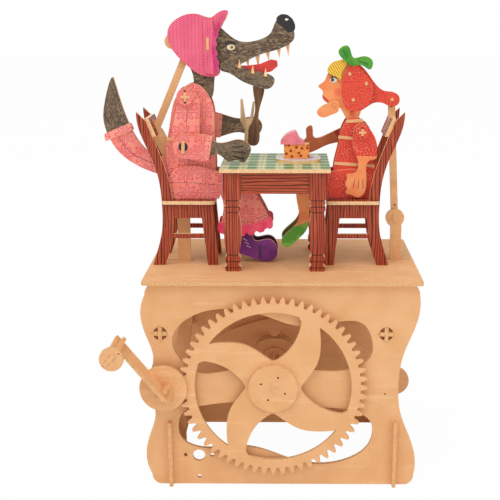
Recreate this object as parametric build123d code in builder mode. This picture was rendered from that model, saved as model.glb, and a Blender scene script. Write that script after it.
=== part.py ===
from build123d import *

import os
from math import atan2, cos, degrees, hypot, pi, radians, sin, sqrt, tan

os.makedirs("parts", exist_ok=True)

# ---------------------------------------------------------------------------
# Driving dimensions, in millimetres. X runs to the right, Y away from the
# front panel's face, Z up from the table the toy stands on.
# ---------------------------------------------------------------------------
BOARD = 3.0             # thickness of every laser-cut board
FIT = 0.05              # slip fit of a strip in its slot
RUN = 0.4               # running gap beside a turning board

STAGE_WIDTH = 227.0
STAGE_TOP = 179.5
STAGE_FRONT = -5.0
STAGE_BACK = 145.0
STAGE_CORNER = 3.0
BACK_PANEL = 125.0      # depth of the back panel's front face
FOOT_REACH = 6.0        # how far the side boards stand out of the panels
FOOT_HEIGHT = 57.5
SIDE_BOARD_X = 93.9     # half the distance between the side boards
SIDE_DIP = 38.0         # height of the side boards under the levers
PANEL_TOP = STAGE_TOP - BOARD

SHAFT_X = -7.5          # camshaft
SHAFT_Z = 90.0
AXLE_REACH = 92.4       # from the camshaft out to either lever axle
AXLE_Z = 134.5
STRIP = 11.0            # width of the crossed strips that make an axle
AXLE_HOLE = hypot(STRIP / 2, BOARD / 2) + FIT

MODULE = 2.5
GEAR_TEETH = 60
PINION_TEETH = 12
PRESSURE = radians(20)
BACKLASH = 0.5
RIM = 7.5               # from the gear's roots in to its openings
HUB_RADIUS = 20.3
SPOKES = 4

CRANK_X = SHAFT_X - MODULE * (GEAR_TEETH + PINION_TEETH) / 2
CRANK_DISC = 19.5
CRANK_ARM = 53.0
CRANK_TURN = 128.6      # direction of the arm, in degrees
ARM_DEPTH = 17.0        # the arm stands on edge, this deep
GRIP_REACH = 26.0       # from the arm's front edge to the grip's end
KNOB_RADIUS = 9.4
KNOB_HOLE = 6.6

LEFT_LAYER = 65.0       # depth of the left lever's front face
RIGHT_LAYER = LEFT_LAYER + BOARD + 1.0
CAM_BASE = 17.7
LEFT_LIFT = 1.4
RIGHT_LIFT = 3.6
NOSE = 5.0              # radius of the nose that rides on the cam
NOSE_GAP = 0.3          # under a nose when a cam's lobe is below it
POST = 10.0             # width of a lever's upright post
LEVER_BOSS = 11.0
LEVER_COLLAR = 7.8
LEVER_SOLE = 114.0      # height of the levers' lower edge above the camshaft
ROD = 6.0
PIN = 1.5               # radius of the pivot pins
PIN_PLAY = 0.1
LOOSE_PLAY = 0.9        # play of the pin that closes each linkage

CHAIR_FRONT = 48.5      # near face of a chair's near side
CHAIR_DEPTH = 43.0      # over both sides
SEAT_TOP = 235.6
SEAT_LAP = 3.0
LEFT_CHAIR = -55.0      # front foot's toe of the left chair
RIGHT_CHAIR = 34.5      # front foot's toe of the right chair

TABLE_LEFT = -51.5
TABLE_RIGHT = 39.0
TABLE_FRONT = 25.0
TABLE_BACK = 115.0
TABLE_TOP = 265.9
TABLE_EDGE = 3.0        # the top's overhang past the legs
LEG_WIDTH = 14.4
LEG_DEPTH = 3 * BOARD
APRON = 17.9
PLATE_RADIUS = 19.2
PLATE_X = 12.9
PLATE_Y = 70.0

SHAFT = (SHAFT_X, SHAFT_Z)
CRANK = (CRANK_X, SHAFT_Z)
LEFT_AXLE = (SHAFT_X - AXLE_REACH, AXLE_Z)
RIGHT_AXLE = (SHAFT_X + AXLE_REACH, AXLE_Z)
LEFT_POST = LEFT_AXLE[0] + LEVER_COLLAR + 0.9      # left edge of the left lever's post
RIGHT_POST = RIGHT_AXLE[0] + LEVER_COLLAR + 0.5    # left edge of the right lever's post
GEAR_BACK = -RUN - BOARD
GEAR_FRONT = GEAR_BACK - BOARD

# The pivots of the two linkages, each an (x, z) pair.
LEFT_BOSS = (-108.0, 292.0)
LEFT_CROWN = (-75.0, 368.0)
LEFT_NECK = (-68.0, 321.0)
LEFT_JAW = (-47.0, 346.5)
LEFT_SHOULDER = (-80.0, 322.0)
LEFT_ELBOW = (-82.5, 281.0)
RIGHT_BOSS = (96.8, 216.4)
RIGHT_TAIL = (91.4, 318.2)
RIGHT_NECK = (58.0, 307.0)
RIGHT_JAW = (42.5, 314.0)
RIGHT_SHOULDER = (66.0, 292.5)


# ---------------------------------------------------------------------------
# Helpers
# ---------------------------------------------------------------------------
def facing(depth):
    """A plane parallel to the front panel, its sketch read as (x, z)."""
    return Plane(origin=(0, depth, 0), x_dir=(1, 0, 0), z_dir=(0, -1, 0))


def save(part, name):
    """Label a finished piece and write it."""
    part.label = name
    export_step(part, "parts/" + name + ".step")


def smooth(points):
    """A closed face with a smooth outline through the points."""
    with BuildLine() as outline:
        Spline(*points, periodic=True)
    make_face(outline.edges())


def angular(points, radius=0.0):
    """A closed face with straight sides and rounded corners."""
    with BuildLine() as outline:
        if radius:
            FilletPolyline(*points, radius=radius, close=True)
        else:
            Polyline(*points, close=True)
    make_face(outline.edges())


def cross(centre, width, thick, turn=0.0, mode=Mode.ADD):
    """The section of two crossed strips."""
    with Locations(centre):
        Rectangle(width, thick, rotation=turn, mode=mode)
        Rectangle(width, thick, rotation=turn + 90, mode=mode)


def cross_hole(centre, turn=0.0):
    """A cross-shaped hole that grips two crossed strips."""
    cross(centre, STRIP + 2 * FIT, BOARD + 2 * FIT, turn, Mode.SUBTRACT)


def strip_plane(centre, turn):
    """The plane of a strip on edge: local x across it, local y along +Y."""
    across = (cos(radians(turn)), 0, sin(radians(turn)))
    normal = Vector(*across).cross(Vector(0, 1, 0))
    origin = (centre[0], 0, centre[1])
    return Plane(origin=origin, x_dir=across, z_dir=normal)


def crossed_strips(centre, start, end, turn=0.0):
    """Two strips slotted half and half into each other, along Y."""
    middle = (start + end) / 2
    with BuildPart() as strips:
        for angle, slot_start, slot_end in (
            (turn, start, middle),
            (turn + 90, middle, end),
        ):
            with BuildSketch(strip_plane(centre, angle)):
                with Locations((0, middle)):
                    Rectangle(STRIP, end - start)
                with Locations((0, (slot_start + slot_end) / 2)):
                    Rectangle(BOARD + 2 * FIT, slot_end - slot_start + FIT, mode=Mode.SUBTRACT)
            extrude(amount=BOARD / 2, both=True)
    return strips


def washer(centre, radius, depth, turn=0.0, thick=BOARD):
    """A round collar with a cross-shaped hole."""
    with BuildSketch(facing(depth)) as ring:
        with Locations(centre):
            Circle(radius)
        cross_hole(centre, turn)
    extrude(ring.sketch, amount=-thick)


def gear_tooth_outline(teeth, root_cut=1.2, tip=1.0, first=0.0):
    """Points of a gear's outline: roots, involute flanks and tips."""
    pitch = teeth * MODULE / 2
    base = pitch * cos(PRESSURE)
    outer = pitch + tip * MODULE
    root = pitch - root_cut * MODULE

    def involute(radius):
        roll = sqrt(max(0.0, (radius / base) ** 2 - 1))
        return roll - atan2(roll, 1)

    half = (pi * MODULE - BACKLASH) / (4 * pitch)
    at_pitch = involute(pitch)
    flank_start = max(base, root)
    radii = [flank_start, (flank_start + outer) / 2, outer]
    points = []
    for tooth in range(teeth):
        centre = radians(first) + tooth * 2 * pi / teeth
        flank = [(r, half + at_pitch - involute(r)) for r in radii]
        if root < base:
            flank.insert(0, (root, flank[0][1] * 0.8))
        left = [(r, centre - a) for r, a in flank]
        right = [(r, centre + a) for r, a in reversed(flank)]
        points += [(r * cos(a), r * sin(a)) for r, a in left + right]
    return points


def polar(radius, angle):
    return (radius * cos(radians(angle)), radius * sin(radians(angle)))


def moved(points, centre):
    return [(x + centre[0], z + centre[1]) for x, z in points]


# ---------------------------------------------------------------------------
# Base: two wavy panels, stage board and side boards
# ---------------------------------------------------------------------------
CORNER = 7.0
RIGHT_EDGE = [
    (110.8, CORNER + 2), (109.4, 35.0), (98.7, 64.0), (96.0, 92.0),
    (99.6, 117.0), (107.6, 138.0), (111.3, PANEL_TOP - CORNER - 2),
]
LEFT_EDGE = [
    (-111.6, PANEL_TOP - CORNER - 2), (-111.3, 132.0), (-106.2, 113.5), (-111.0, 90.0),
    (-105.9, 64.5), (-110.4, 47.0), (-110.2, CORNER + 2),
]


def panel_outline():
    """The wavy outline that both panels share."""
    low_right, high_right = RIGHT_EDGE[0], RIGHT_EDGE[-1]
    high_left, low_left = LEFT_EDGE[0], LEFT_EDGE[-1]
    with BuildLine() as outline:
        Line((low_left[0] + CORNER, 0), (low_right[0] - CORNER, 0))
        RadiusArc((low_right[0] - CORNER, 0), low_right, -CORNER - 1.5)
        Spline(*RIGHT_EDGE)
        RadiusArc(high_right, (high_right[0] - CORNER, PANEL_TOP), -CORNER - 1.5)
        Line((high_right[0] - CORNER, PANEL_TOP), (high_left[0] + CORNER, PANEL_TOP))
        RadiusArc((high_left[0] + CORNER, PANEL_TOP), high_left, -CORNER - 1.5)
        Spline(*LEFT_EDGE)
        RadiusArc(low_left, (low_left[0] + CORNER, 0), -CORNER - 1.5)
    make_face(outline.edges())


def side_slots():
    """Slots from the floor up that straddle the side boards."""
    for side in (-1, 1):
        with Locations((side * SIDE_BOARD_X, FOOT_HEIGHT / 4)):
            Rectangle(BOARD + 2 * FIT, FOOT_HEIGHT / 2 + FIT, mode=Mode.SUBTRACT)


with BuildPart() as front_panel:
    with BuildSketch(facing(0)):
        panel_outline()
        side_slots()
        with Locations(SHAFT, CRANK, LEFT_AXLE, RIGHT_AXLE):
            Circle(AXLE_HOLE, mode=Mode.SUBTRACT)
        with Locations((-70.3, 26.2)):
            Circle(5.2, mode=Mode.SUBTRACT)
        with Locations((-81.5, 26.6), (-59.1, 26.6), (-70.3, 7.0)):
            Circle(1.7, mode=Mode.SUBTRACT)
        with Locations((85.1, 82.2)):
            Circle(0.9, mode=Mode.SUBTRACT)
    extrude(amount=-BOARD)
    with BuildSketch(facing(0)):
        smooth([
            (-81.5, 109.0), (-87.6, 137.0), (-65.0, 153.0), (-43.5, 155.4),
            (-16.5, 150.6), (15.0, 141.0), (46.0, 145.0), (66.0, 143.0),
            (73.0, 131.0), (72.5, 115.0), (58.0, 104.5), (27.0, 103.0),
            (-8.0, 107.0), (-50.0, 101.5),
        ])
        smooth([
            (-86.6, 57.0), (-80.0, 37.5), (-66.0, 33.0), (-40.0, 34.8),
            (-18.0, 32.0), (5.5, 23.2), (30.0, 18.6), (60.0, 25.5),
            (72.5, 37.0), (73.0, 58.0), (56.0, 67.5), (26.0, 70.5),
            (-8.0, 73.0), (-40.0, 74.6), (-68.0, 71.0),
        ])
    extrude(amount=-BOARD, mode=Mode.SUBTRACT)
save(front_panel.part, "front_panel")

with BuildPart() as back_panel:
    with BuildSketch(facing(BACK_PANEL)):
        panel_outline()
        side_slots()
        with Locations(SHAFT, LEFT_AXLE, RIGHT_AXLE):
            Circle(AXLE_HOLE, mode=Mode.SUBTRACT)
    extrude(amount=-BOARD)
save(back_panel.part, "back_panel")

SLOT_WIDTH = BOARD + 2 * RUN
LEFT_SLOT = (LEFT_POST - 9.2, LEFT_POST + POST + 3.0)
RIGHT_SLOT = (RIGHT_POST - 4.2, RIGHT_POST + POST + 7.3)
with BuildPart() as stage_board:
    with BuildSketch(Plane.XY.offset(PANEL_TOP)):
        with Locations((0, (STAGE_FRONT + STAGE_BACK) / 2)):
            RectangleRounded(STAGE_WIDTH, STAGE_BACK - STAGE_FRONT, STAGE_CORNER)
        for slot, layer in ((LEFT_SLOT, LEFT_LAYER), (RIGHT_SLOT, RIGHT_LAYER)):
            with Locations(((slot[0] + slot[1]) / 2, layer + BOARD / 2)):
                Rectangle(slot[1] - slot[0], SLOT_WIDTH, mode=Mode.SUBTRACT)
    extrude(amount=BOARD)
save(stage_board.part, "stage_board")

PLATE_FRONT = 28.0      # depth of the crank's inner bearing plate
for side, name in ((-1, "left_side_board"), (1, "right_side_board")):
    ends = (-FOOT_REACH, BACK_PANEL + BOARD + FOOT_REACH)
    dip_start = LEFT_LAYER - 22.0
    dip_end = RIGHT_LAYER + BOARD + 22.0
    with BuildPart() as side_board:
        with BuildSketch(Plane.YZ.offset(side * SIDE_BOARD_X)):
            with BuildLine():
                Polyline((dip_end, SIDE_DIP), (ends[1] - 10, FOOT_HEIGHT), (ends[1], FOOT_HEIGHT),
                         (ends[1], 0), (ends[0], 0), (ends[0], FOOT_HEIGHT),
                         (ends[0] + 10 + BOARD, FOOT_HEIGHT), (dip_start, SIDE_DIP))
                Line((dip_start, SIDE_DIP), (dip_end, SIDE_DIP))
            make_face()
            for wall in (BOARD / 2, BACK_PANEL + BOARD / 2):
                with Locations((wall, FOOT_HEIGHT * 3 / 4)):
                    Rectangle(BOARD + 2 * FIT, FOOT_HEIGHT / 2 + FIT, mode=Mode.SUBTRACT)
            if side < 0:
                with Locations((PLATE_FRONT + BOARD / 2, FOOT_HEIGHT * 3 / 4)):
                    Rectangle(BOARD + 2 * FIT, FOOT_HEIGHT / 2 + FIT, mode=Mode.SUBTRACT)
        extrude(amount=BOARD / 2, both=True)
    save(side_board.part, name)

with BuildPart() as crank_bearing:
    with BuildSketch(facing(PLATE_FRONT)):
        angular([(-108, 0), (-84, 0), (-84, 60), (-88, 84), (-88, 100), (-107, 100), (-108, 60)], 3)
        with Locations((-SIDE_BOARD_X, FOOT_HEIGHT / 4)):
            Rectangle(BOARD + 2 * FIT, FOOT_HEIGHT / 2 + FIT, mode=Mode.SUBTRACT)
        with Locations(CRANK):
            Circle(AXLE_HOLE, mode=Mode.SUBTRACT)
    extrude(amount=-BOARD)
save(crank_bearing.part, "crank_bearing_plate")

# ---------------------------------------------------------------------------
# Gear, hub disc, camshaft and cams
# ---------------------------------------------------------------------------
SHAFT_TURN = 22.0
GEAR_ROOT = GEAR_TEETH * MODULE / 2 - 1.2 * MODULE
OPENING = GEAR_ROOT - RIM

with BuildPart() as main_gear:
    with BuildSketch(facing(GEAR_FRONT)):
        angular(moved(gear_tooth_outline(GEAR_TEETH), SHAFT))
        cross_hole(SHAFT, SHAFT_TURN)
    extrude(amount=-BOARD)
    with BuildSketch(facing(GEAR_FRONT)):
        for spoke in range(SPOKES):
            turn = spoke * 360 / SPOKES

            def spot(radius, angle):
                x, z = polar(radius, angle + turn)
                return (x + SHAFT_X, z + SHAFT_Z)

            with BuildLine():
                Spline(spot(OPENING, 54), spot(53, 43), spot(43, 31.5), spot(30, 17), spot(23.2, 3))
                Line(spot(23.2, 3), spot(23.2, -4))
                Spline(spot(23.2, -4), spot(34.5, -21.5), spot(52, -24), spot(OPENING - 3, -22))
                Line(spot(OPENING - 3, -22), spot(OPENING, -19))
                ThreePointArc(spot(OPENING, -19), spot(OPENING, 17), spot(OPENING, 54))
            make_face()
    extrude(amount=-BOARD, mode=Mode.SUBTRACT)
save(main_gear.part, "main_gear")

HUB_FRONT = GEAR_FRONT - BOARD
COLLAR = 10.0
BACK_COLLAR = BACK_PANEL + BOARD + RUN
with BuildPart() as cam_collars:
    washer(SHAFT, HUB_RADIUS, HUB_FRONT, SHAFT_TURN)
    with BuildSketch(facing(HUB_FRONT)):
        with Locations(moved([polar(10.6, SHAFT_TURN + 45 + 90 * k) for k in range(4)], SHAFT)):
            Circle(0.9)
    extrude(amount=-BOARD, mode=Mode.SUBTRACT)
    for depth in (GEAR_BACK, BOARD + RUN, LEFT_LAYER - BOARD - RUN, RIGHT_LAYER + BOARD + RUN, BACK_COLLAR):
        washer(SHAFT, COLLAR, depth, SHAFT_TURN)
save(cam_collars.part, "camshaft_discs")

camshaft = crossed_strips(SHAFT, HUB_FRONT, BACK_COLLAR + BOARD + 1, SHAFT_TURN)
save(camshaft.part, "camshaft_strips")


def cam(lift, depth):
    """A cam of four soft lobes, its valleys up, down and to each side."""
    outline = []
    for step in range(16):
        angle = step * 22.5
        radius = CAM_BASE + lift * (1 - cos(radians(4 * (angle - 90)))) / 2
        outline.append(polar(radius, angle))
    with BuildPart() as disc:
        with BuildSketch(facing(depth)):
            smooth(moved(outline, SHAFT))
            cross_hole(SHAFT, SHAFT_TURN)
        extrude(amount=-BOARD)
    return disc


save(cam(LEFT_LIFT, LEFT_LAYER).part, "left_cam")
save(cam(RIGHT_LIFT, RIGHT_LAYER).part, "right_cam")

# ---------------------------------------------------------------------------
# Crank: pinion, disc, arm on edge with its grip, crossed strips
# ---------------------------------------------------------------------------
DISC_FRONT = GEAR_FRONT - RUN - BOARD
ARM_FRONT = DISC_FRONT - ARM_DEPTH
GRIP_END = ARM_FRONT - GRIP_REACH
CRANK_END = PLATE_FRONT + 2 * BOARD + RUN + 1
SHAFT_MIDDLE = (ARM_FRONT + CRANK_END) / 2
GRIP_MIDDLE = (GRIP_END + DISC_FRONT) / 2
GRIP = (CRANK_X + CRANK_ARM * cos(radians(CRANK_TURN)), SHAFT_Z + CRANK_ARM * sin(radians(CRANK_TURN)))

with BuildPart() as pinion:
    with BuildSketch(facing(GEAR_FRONT)):
        angular(moved(gear_tooth_outline(PINION_TEETH, first=15.0, tip=0.9, root_cut=1.25), CRANK))
        cross_hole(CRANK, CRANK_TURN)
    extrude(amount=-BOARD)
save(pinion.part, "pinion")

with BuildPart() as crank_discs:
    washer(CRANK, CRANK_DISC, DISC_FRONT, CRANK_TURN)
    for depth in (GEAR_BACK, PLATE_FRONT + BOARD + RUN):
        washer(CRANK, COLLAR - 1, depth, CRANK_TURN)
save(crank_discs.part, "crank_discs")

with BuildPart() as crank_arm:
    with BuildSketch(strip_plane(CRANK, CRANK_TURN)):
        with Locations((0, (DISC_FRONT + CRANK_END) / 2)):
            Rectangle(STRIP, CRANK_END - DISC_FRONT)
        with Locations((CRANK_ARM / 2, (DISC_FRONT + ARM_FRONT) / 2)):
            Rectangle(CRANK_ARM + STRIP, ARM_DEPTH)
        with Locations((CRANK_ARM, (GRIP_END + ARM_FRONT) / 2)):
            Rectangle(STRIP, GRIP_REACH)
        with Locations((0, (SHAFT_MIDDLE + CRANK_END) / 2)):
            Rectangle(BOARD + 2 * FIT, CRANK_END - SHAFT_MIDDLE + FIT, mode=Mode.SUBTRACT)
        with Locations((CRANK_ARM, (GRIP_END + GRIP_MIDDLE) / 2)):
            Rectangle(BOARD + 2 * FIT, GRIP_MIDDLE - GRIP_END + FIT, mode=Mode.SUBTRACT)
    extrude(amount=BOARD / 2, both=True)
save(crank_arm.part, "crank_arm")

with BuildPart() as cross_strips:
    with BuildSketch(strip_plane(CRANK, CRANK_TURN + 90)):
        with Locations((0, (ARM_FRONT + 4 + CRANK_END) / 2)):
            Rectangle(STRIP, CRANK_END - ARM_FRONT - 4)
        with Locations((0, (ARM_FRONT + SHAFT_MIDDLE) / 2)):
            Rectangle(BOARD + 2 * FIT, SHAFT_MIDDLE - ARM_FRONT + FIT, mode=Mode.SUBTRACT)
    extrude(amount=BOARD / 2, both=True)
    with BuildSketch(strip_plane(GRIP, CRANK_TURN + 90)):
        with Locations((0, (GRIP_END + DISC_FRONT - 2) / 2)):
            Rectangle(STRIP, DISC_FRONT - 2 - GRIP_END)
        with Locations((0, (GRIP_MIDDLE + DISC_FRONT) / 2)):
            Rectangle(BOARD + 2 * FIT, DISC_FRONT - GRIP_MIDDLE + FIT, mode=Mode.SUBTRACT)
    extrude(amount=BOARD / 2, both=True)
save(cross_strips.part, "crank_cross_strips")

with BuildPart() as crank_knob:
    washer(GRIP, KNOB_RADIUS, GRIP_END, CRANK_TURN)
    with BuildSketch(facing(GRIP_END)):
        with Locations(moved([polar(KNOB_RADIUS - 1.7, CRANK_TURN + 90 + 180 * k) for k in range(2)], GRIP)):
            Circle(0.8)
    extrude(amount=-BOARD, mode=Mode.SUBTRACT)
save(crank_knob.part, "crank_knob_disc")

# ---------------------------------------------------------------------------
# Levers: each turns on the far axle, rides on its cam and carries a post
# ---------------------------------------------------------------------------
def nose_centre(lift):
    """A lever's nose at the top of its stroke, just clear of its cam's lobes."""
    return (SHAFT_X, SHAFT_Z + CAM_BASE + lift + NOSE_GAP + NOSE)


def lever_axle(centre):
    return crossed_strips(centre, -BOARD / 2, BACK_PANEL + BOARD * 3 / 2)


def lever_collars(centre, layer):
    """Collars on each side of the lever and inside both panels."""
    with BuildPart() as collars:
        for depth in (BOARD + RUN, layer - BOARD, layer + BOARD, BACK_PANEL - BOARD - RUN):
            washer(centre, LEVER_COLLAR, depth)
    return collars


save(lever_axle(LEFT_AXLE).part, "left_axle_strips")
save(lever_axle(RIGHT_AXLE).part, "right_axle_strips")
save(lever_collars(LEFT_AXLE, RIGHT_LAYER).part, "left_axle_collars")
save(lever_collars(RIGHT_AXLE, LEFT_LAYER).part, "right_axle_collars")

LOBE = 13.0
RIGHT_LOBE = (RIGHT_POST + 7.3, 66.0)
with BuildPart() as right_lever:
    with BuildSketch(facing(RIGHT_LAYER)):
        with Locations(LEFT_AXLE):
            Circle(LEVER_BOSS)
        with BuildLine():
            Spline((LEFT_AXLE[0], AXLE_Z + 10), (-60, 133), (SHAFT_X, 127), (50, 108), (RIGHT_POST + 1, 80))
            Line((RIGHT_POST + 1, 80), (RIGHT_POST + 1, 56))
            Spline((RIGHT_POST + 1, 56), (55, 88), (14, LEVER_SOLE))
            Line((14, LEVER_SOLE), (-28, LEVER_SOLE))
            Spline((-28, LEVER_SOLE), (-65, 118), (LEFT_AXLE[0], AXLE_Z - 10))
            Line((LEFT_AXLE[0], AXLE_Z - 10), (LEFT_AXLE[0], AXLE_Z + 10))
        make_face()
        with Locations(nose_centre(RIGHT_LIFT)):
            Circle(NOSE)
        with Locations(RIGHT_LOBE):
            Circle(LOBE)
        with BuildLine():
            Polyline((RIGHT_POST, 62), (RIGHT_POST + 12, 66), (RIGHT_POST + POST, 110),
                     (RIGHT_POST + POST - 0.6, 214), (RIGHT_POST, 214), (RIGHT_POST, 62))
        make_face()
        with Locations(RIGHT_BOSS):
            Circle(8)
        cross_hole(LEFT_AXLE)
    extrude(amount=-BOARD)
    with BuildSketch(facing(RIGHT_LAYER + BOARD + RUN + BOARD)):
        with Locations(RIGHT_BOSS):
            Circle(PIN)
    extrude(amount=RUN + BOARD)
save(right_lever.part, "right_lever")

LEFT_LOBE = (LEFT_POST - 13.3, 66.0)
LEFT_POST_RIGHT = LEFT_POST + POST + 1
with BuildPart() as left_lever:
    with BuildSketch(facing(LEFT_LAYER)):
        with Locations(RIGHT_AXLE):
            Circle(LEVER_BOSS)
        with BuildLine():
            Spline((RIGHT_AXLE[0], AXLE_Z + 10), (50, 133), (SHAFT_X, 127), (-60, 108), (LEFT_POST - 0.8, 82))
            Line((LEFT_POST - 0.8, 82), (LEFT_POST - 8.8, 56))
            Spline((LEFT_POST - 8.8, 56), (-66, 90), (-28, LEVER_SOLE))
            Line((-28, LEVER_SOLE), (14, LEVER_SOLE))
            Spline((14, LEVER_SOLE), (50, 118), (RIGHT_AXLE[0], AXLE_Z - 10))
            Line((RIGHT_AXLE[0], AXLE_Z - 10), (RIGHT_AXLE[0], AXLE_Z + 10))
        make_face()
        with Locations(nose_centre(LEFT_LIFT)):
            Circle(NOSE)
        with Locations(LEFT_LOBE):
            Circle(LOBE)
        with BuildLine():
            Polyline((LEFT_POST - 4.8, 62), (LEFT_POST + 7, 92), (LEFT_POST_RIGHT, 125), (LEFT_POST_RIGHT, 250),
                     (-102, 294), (-110, 288), (LEFT_POST, 246), (LEFT_POST, 120), (LEFT_POST - 12.8, 78),
                     (LEFT_POST - 4.8, 62))
        make_face()
        with Locations(LEFT_BOSS):
            Circle(5.5)
        cross_hole(RIGHT_AXLE)
    extrude(amount=-BOARD)
    with BuildSketch(facing(LEFT_LAYER + BOARD + RUN + BOARD)):
        with Locations(LEFT_BOSS):
            Circle(PIN)
    extrude(amount=RUN + BOARD)
save(left_lever.part, "left_lever")


def rod(bottom, top, depth):
    """A flat connecting rod, tight on its lower pin and loose on the upper."""
    length = hypot(top[0] - bottom[0], top[1] - bottom[1])
    tilt = degrees(atan2(top[1] - bottom[1], top[0] - bottom[0]))
    middle = ((bottom[0] + top[0]) / 2, (bottom[1] + top[1]) / 2)
    with BuildPart() as bar:
        with BuildSketch(facing(depth)):
            with Locations(middle):
                SlotCenterToCenter(length, ROD, rotation=tilt)
            with Locations(bottom, top):
                Circle(ROD / 2 + 2)
            with Locations(bottom):
                Circle(PIN + PIN_PLAY, mode=Mode.SUBTRACT)
            with Locations(top):
                Circle(PIN + LOOSE_PLAY, mode=Mode.SUBTRACT)
        extrude(amount=-BOARD)
    return bar


save(rod(LEFT_BOSS, LEFT_CROWN, LEFT_LAYER + BOARD + RUN).part, "left_rod")
save(rod(RIGHT_BOSS, RIGHT_TAIL, RIGHT_LAYER + BOARD + RUN).part, "right_rod")

# ---------------------------------------------------------------------------
# Chairs: two curved sides, a seat and a back board
# ---------------------------------------------------------------------------
SEAT_BOTTOM = SEAT_TOP - BOARD
CHAIR_BACK = CHAIR_FRONT + CHAIR_DEPTH
REAR_FOOT = 55.5        # from the front toe to the rear heel


def chair_side_outline(place):
    """A chair's side, front leg first, then the curved rear leg and post."""
    with BuildLine() as rear:
        Spline(place(45.5, STAGE_TOP), place(41.0, 193.0), place(38.6, 206.0), place(37.5, 232.0),
               place(41.2, 255.0), place(48.0, 276.0), place(58.2, 302.0))
        Line(place(58.2, 302.0), place(65.8, 309.5))
        Spline(place(65.8, 309.5), place(64.2, 296.0), place(54.5, 272.0), place(48.6, 252.0),
               place(46.7, 231.0), place(47.6, 208.0), place(50.8, 195.0), place(REAR_FOOT, STAGE_TOP))
        Line(place(REAR_FOOT, STAGE_TOP), place(45.5, STAGE_TOP))
    make_face(rear.edges())
    angular([place(0, STAGE_TOP), place(8.8, STAGE_TOP), place(14.8, SEAT_BOTTOM), place(4.5, SEAT_BOTTOM)])
    angular([place(6, 220.5), place(44, 220.5), place(44, SEAT_BOTTOM), place(6, SEAT_BOTTOM)])
    angular([place(7, 203.0), place(44, 203.0), place(44, 206.8), place(7, 206.8)])


NOTCH = 13.5            # height of the notch that lets a rod through a back rail


def chair(toe, side, name, seat_slot, notch_from, notch_depth, notch_z):
    """One chair; side is -1 with its back to the left, 1 to the right."""

    def place(along, height):
        return (toe + side * along, height)

    with BuildPart() as sides:
        for depth in (CHAIR_FRONT, CHAIR_BACK - BOARD):
            with BuildSketch(facing(depth)) as outline:
                chair_side_outline(place)
            extrude(outline.sketch, amount=-BOARD)
    save(sides.part, name + "_chair_sides")

    seat_ends = (toe + side * 2.0, toe + side * 46.4)
    seat_middle = (CHAIR_FRONT + CHAIR_BACK) / 2
    with BuildPart() as seat:
        with BuildSketch(Plane.XY.offset(SEAT_BOTTOM)):
            with Locations(((seat_ends[0] + seat_ends[1]) / 2, seat_middle)):
                RectangleRounded(abs(seat_ends[1] - seat_ends[0]), CHAIR_DEPTH + 2 * SEAT_LAP, 3)
            for depth in (CHAIR_FRONT, CHAIR_BACK - BOARD):
                with Locations((toe + side * (37.0 + 15.0), depth + BOARD / 2)):
                    Rectangle(30.0, BOARD + 2 * FIT, mode=Mode.SUBTRACT)
            if seat_slot:
                with Locations(((seat_slot[0] + seat_slot[1]) / 2, LEFT_LAYER + BOARD / 2)):
                    Rectangle(seat_slot[1] - seat_slot[0], SLOT_WIDTH, mode=Mode.SUBTRACT)
        extrude(amount=BOARD)
    save(seat.part, name + "_chair_seat")

    with BuildPart() as rails:
        for along, low, tilt, height in ((50.0, 289.0, 22.0, 15.0), (42.3, 240.0, 10.0, 9.0)):
            rise = (along + height * tan(radians(tilt)), low + height)
            with BuildSketch(facing(CHAIR_FRONT + BOARD)) as section:
                angular([place(along, low), place(*rise), place(rise[0] + BOARD, rise[1]),
                         place(along + BOARD, low)])
            extrude(section.sketch, amount=-(CHAIR_DEPTH - 2 * BOARD))
        with BuildSketch(facing(notch_from)) as notch:
            with Locations(place(54.0, notch_z)):
                Rectangle(30.0, NOTCH)
        extrude(notch.sketch, amount=-notch_depth, mode=Mode.SUBTRACT)
    save(rails.part, name + "_chair_rails")


TWO_LAYERS = 2 * BOARD + 3 * RUN + 1
chair(LEFT_CHAIR, -1, "left", (LEFT_POST - 2.8, LEFT_POST + 16.2), LEFT_LAYER - RUN, TWO_LAYERS, 294.7)
chair(RIGHT_CHAIR, 1, "right", None, RIGHT_LAYER - 1, TWO_LAYERS + 1, 300.0)

# ---------------------------------------------------------------------------
# Table, plate and cake
# ---------------------------------------------------------------------------
TABLE_BOTTOM = TABLE_TOP - BOARD
TABLE_X = (TABLE_LEFT + TABLE_RIGHT) / 2
TABLE_Y = (TABLE_FRONT + TABLE_BACK) / 2
LEG_X = (TABLE_RIGHT - TABLE_LEFT) / 2 - TABLE_EDGE - LEG_WIDTH / 2
LEG_DEPTHS = (TABLE_FRONT + TABLE_EDGE, TABLE_BACK - TABLE_EDGE - LEG_DEPTH)
LEG_HALF = LEG_WIDTH / 2
LEG_HEIGHT = TABLE_BOTTOM - STAGE_TOP
LEG_PROFILE = [     # half width, share of the leg's height
    (5.6, 0.0), (7.0, 0.038), (4.6, 0.072), (6.2, 0.102), (6.6, 0.138), (4.7, 0.168),
    (6.9, 0.336), (6.9, 0.48), (5.2, 0.6), (6.4, 0.63), (6.4, 0.654), (4.9, 0.672),
    (6.4, 0.69), (5.6, 0.72), (LEG_HALF, 0.738),
]

with BuildPart() as table_top:
    with BuildSketch(Plane.XY.offset(TABLE_BOTTOM)):
        with Locations((TABLE_X, TABLE_Y)):
            Rectangle(TABLE_RIGHT - TABLE_LEFT, TABLE_BACK - TABLE_FRONT)
    extrude(amount=BOARD)
save(table_top.part, "table_top")


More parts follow.
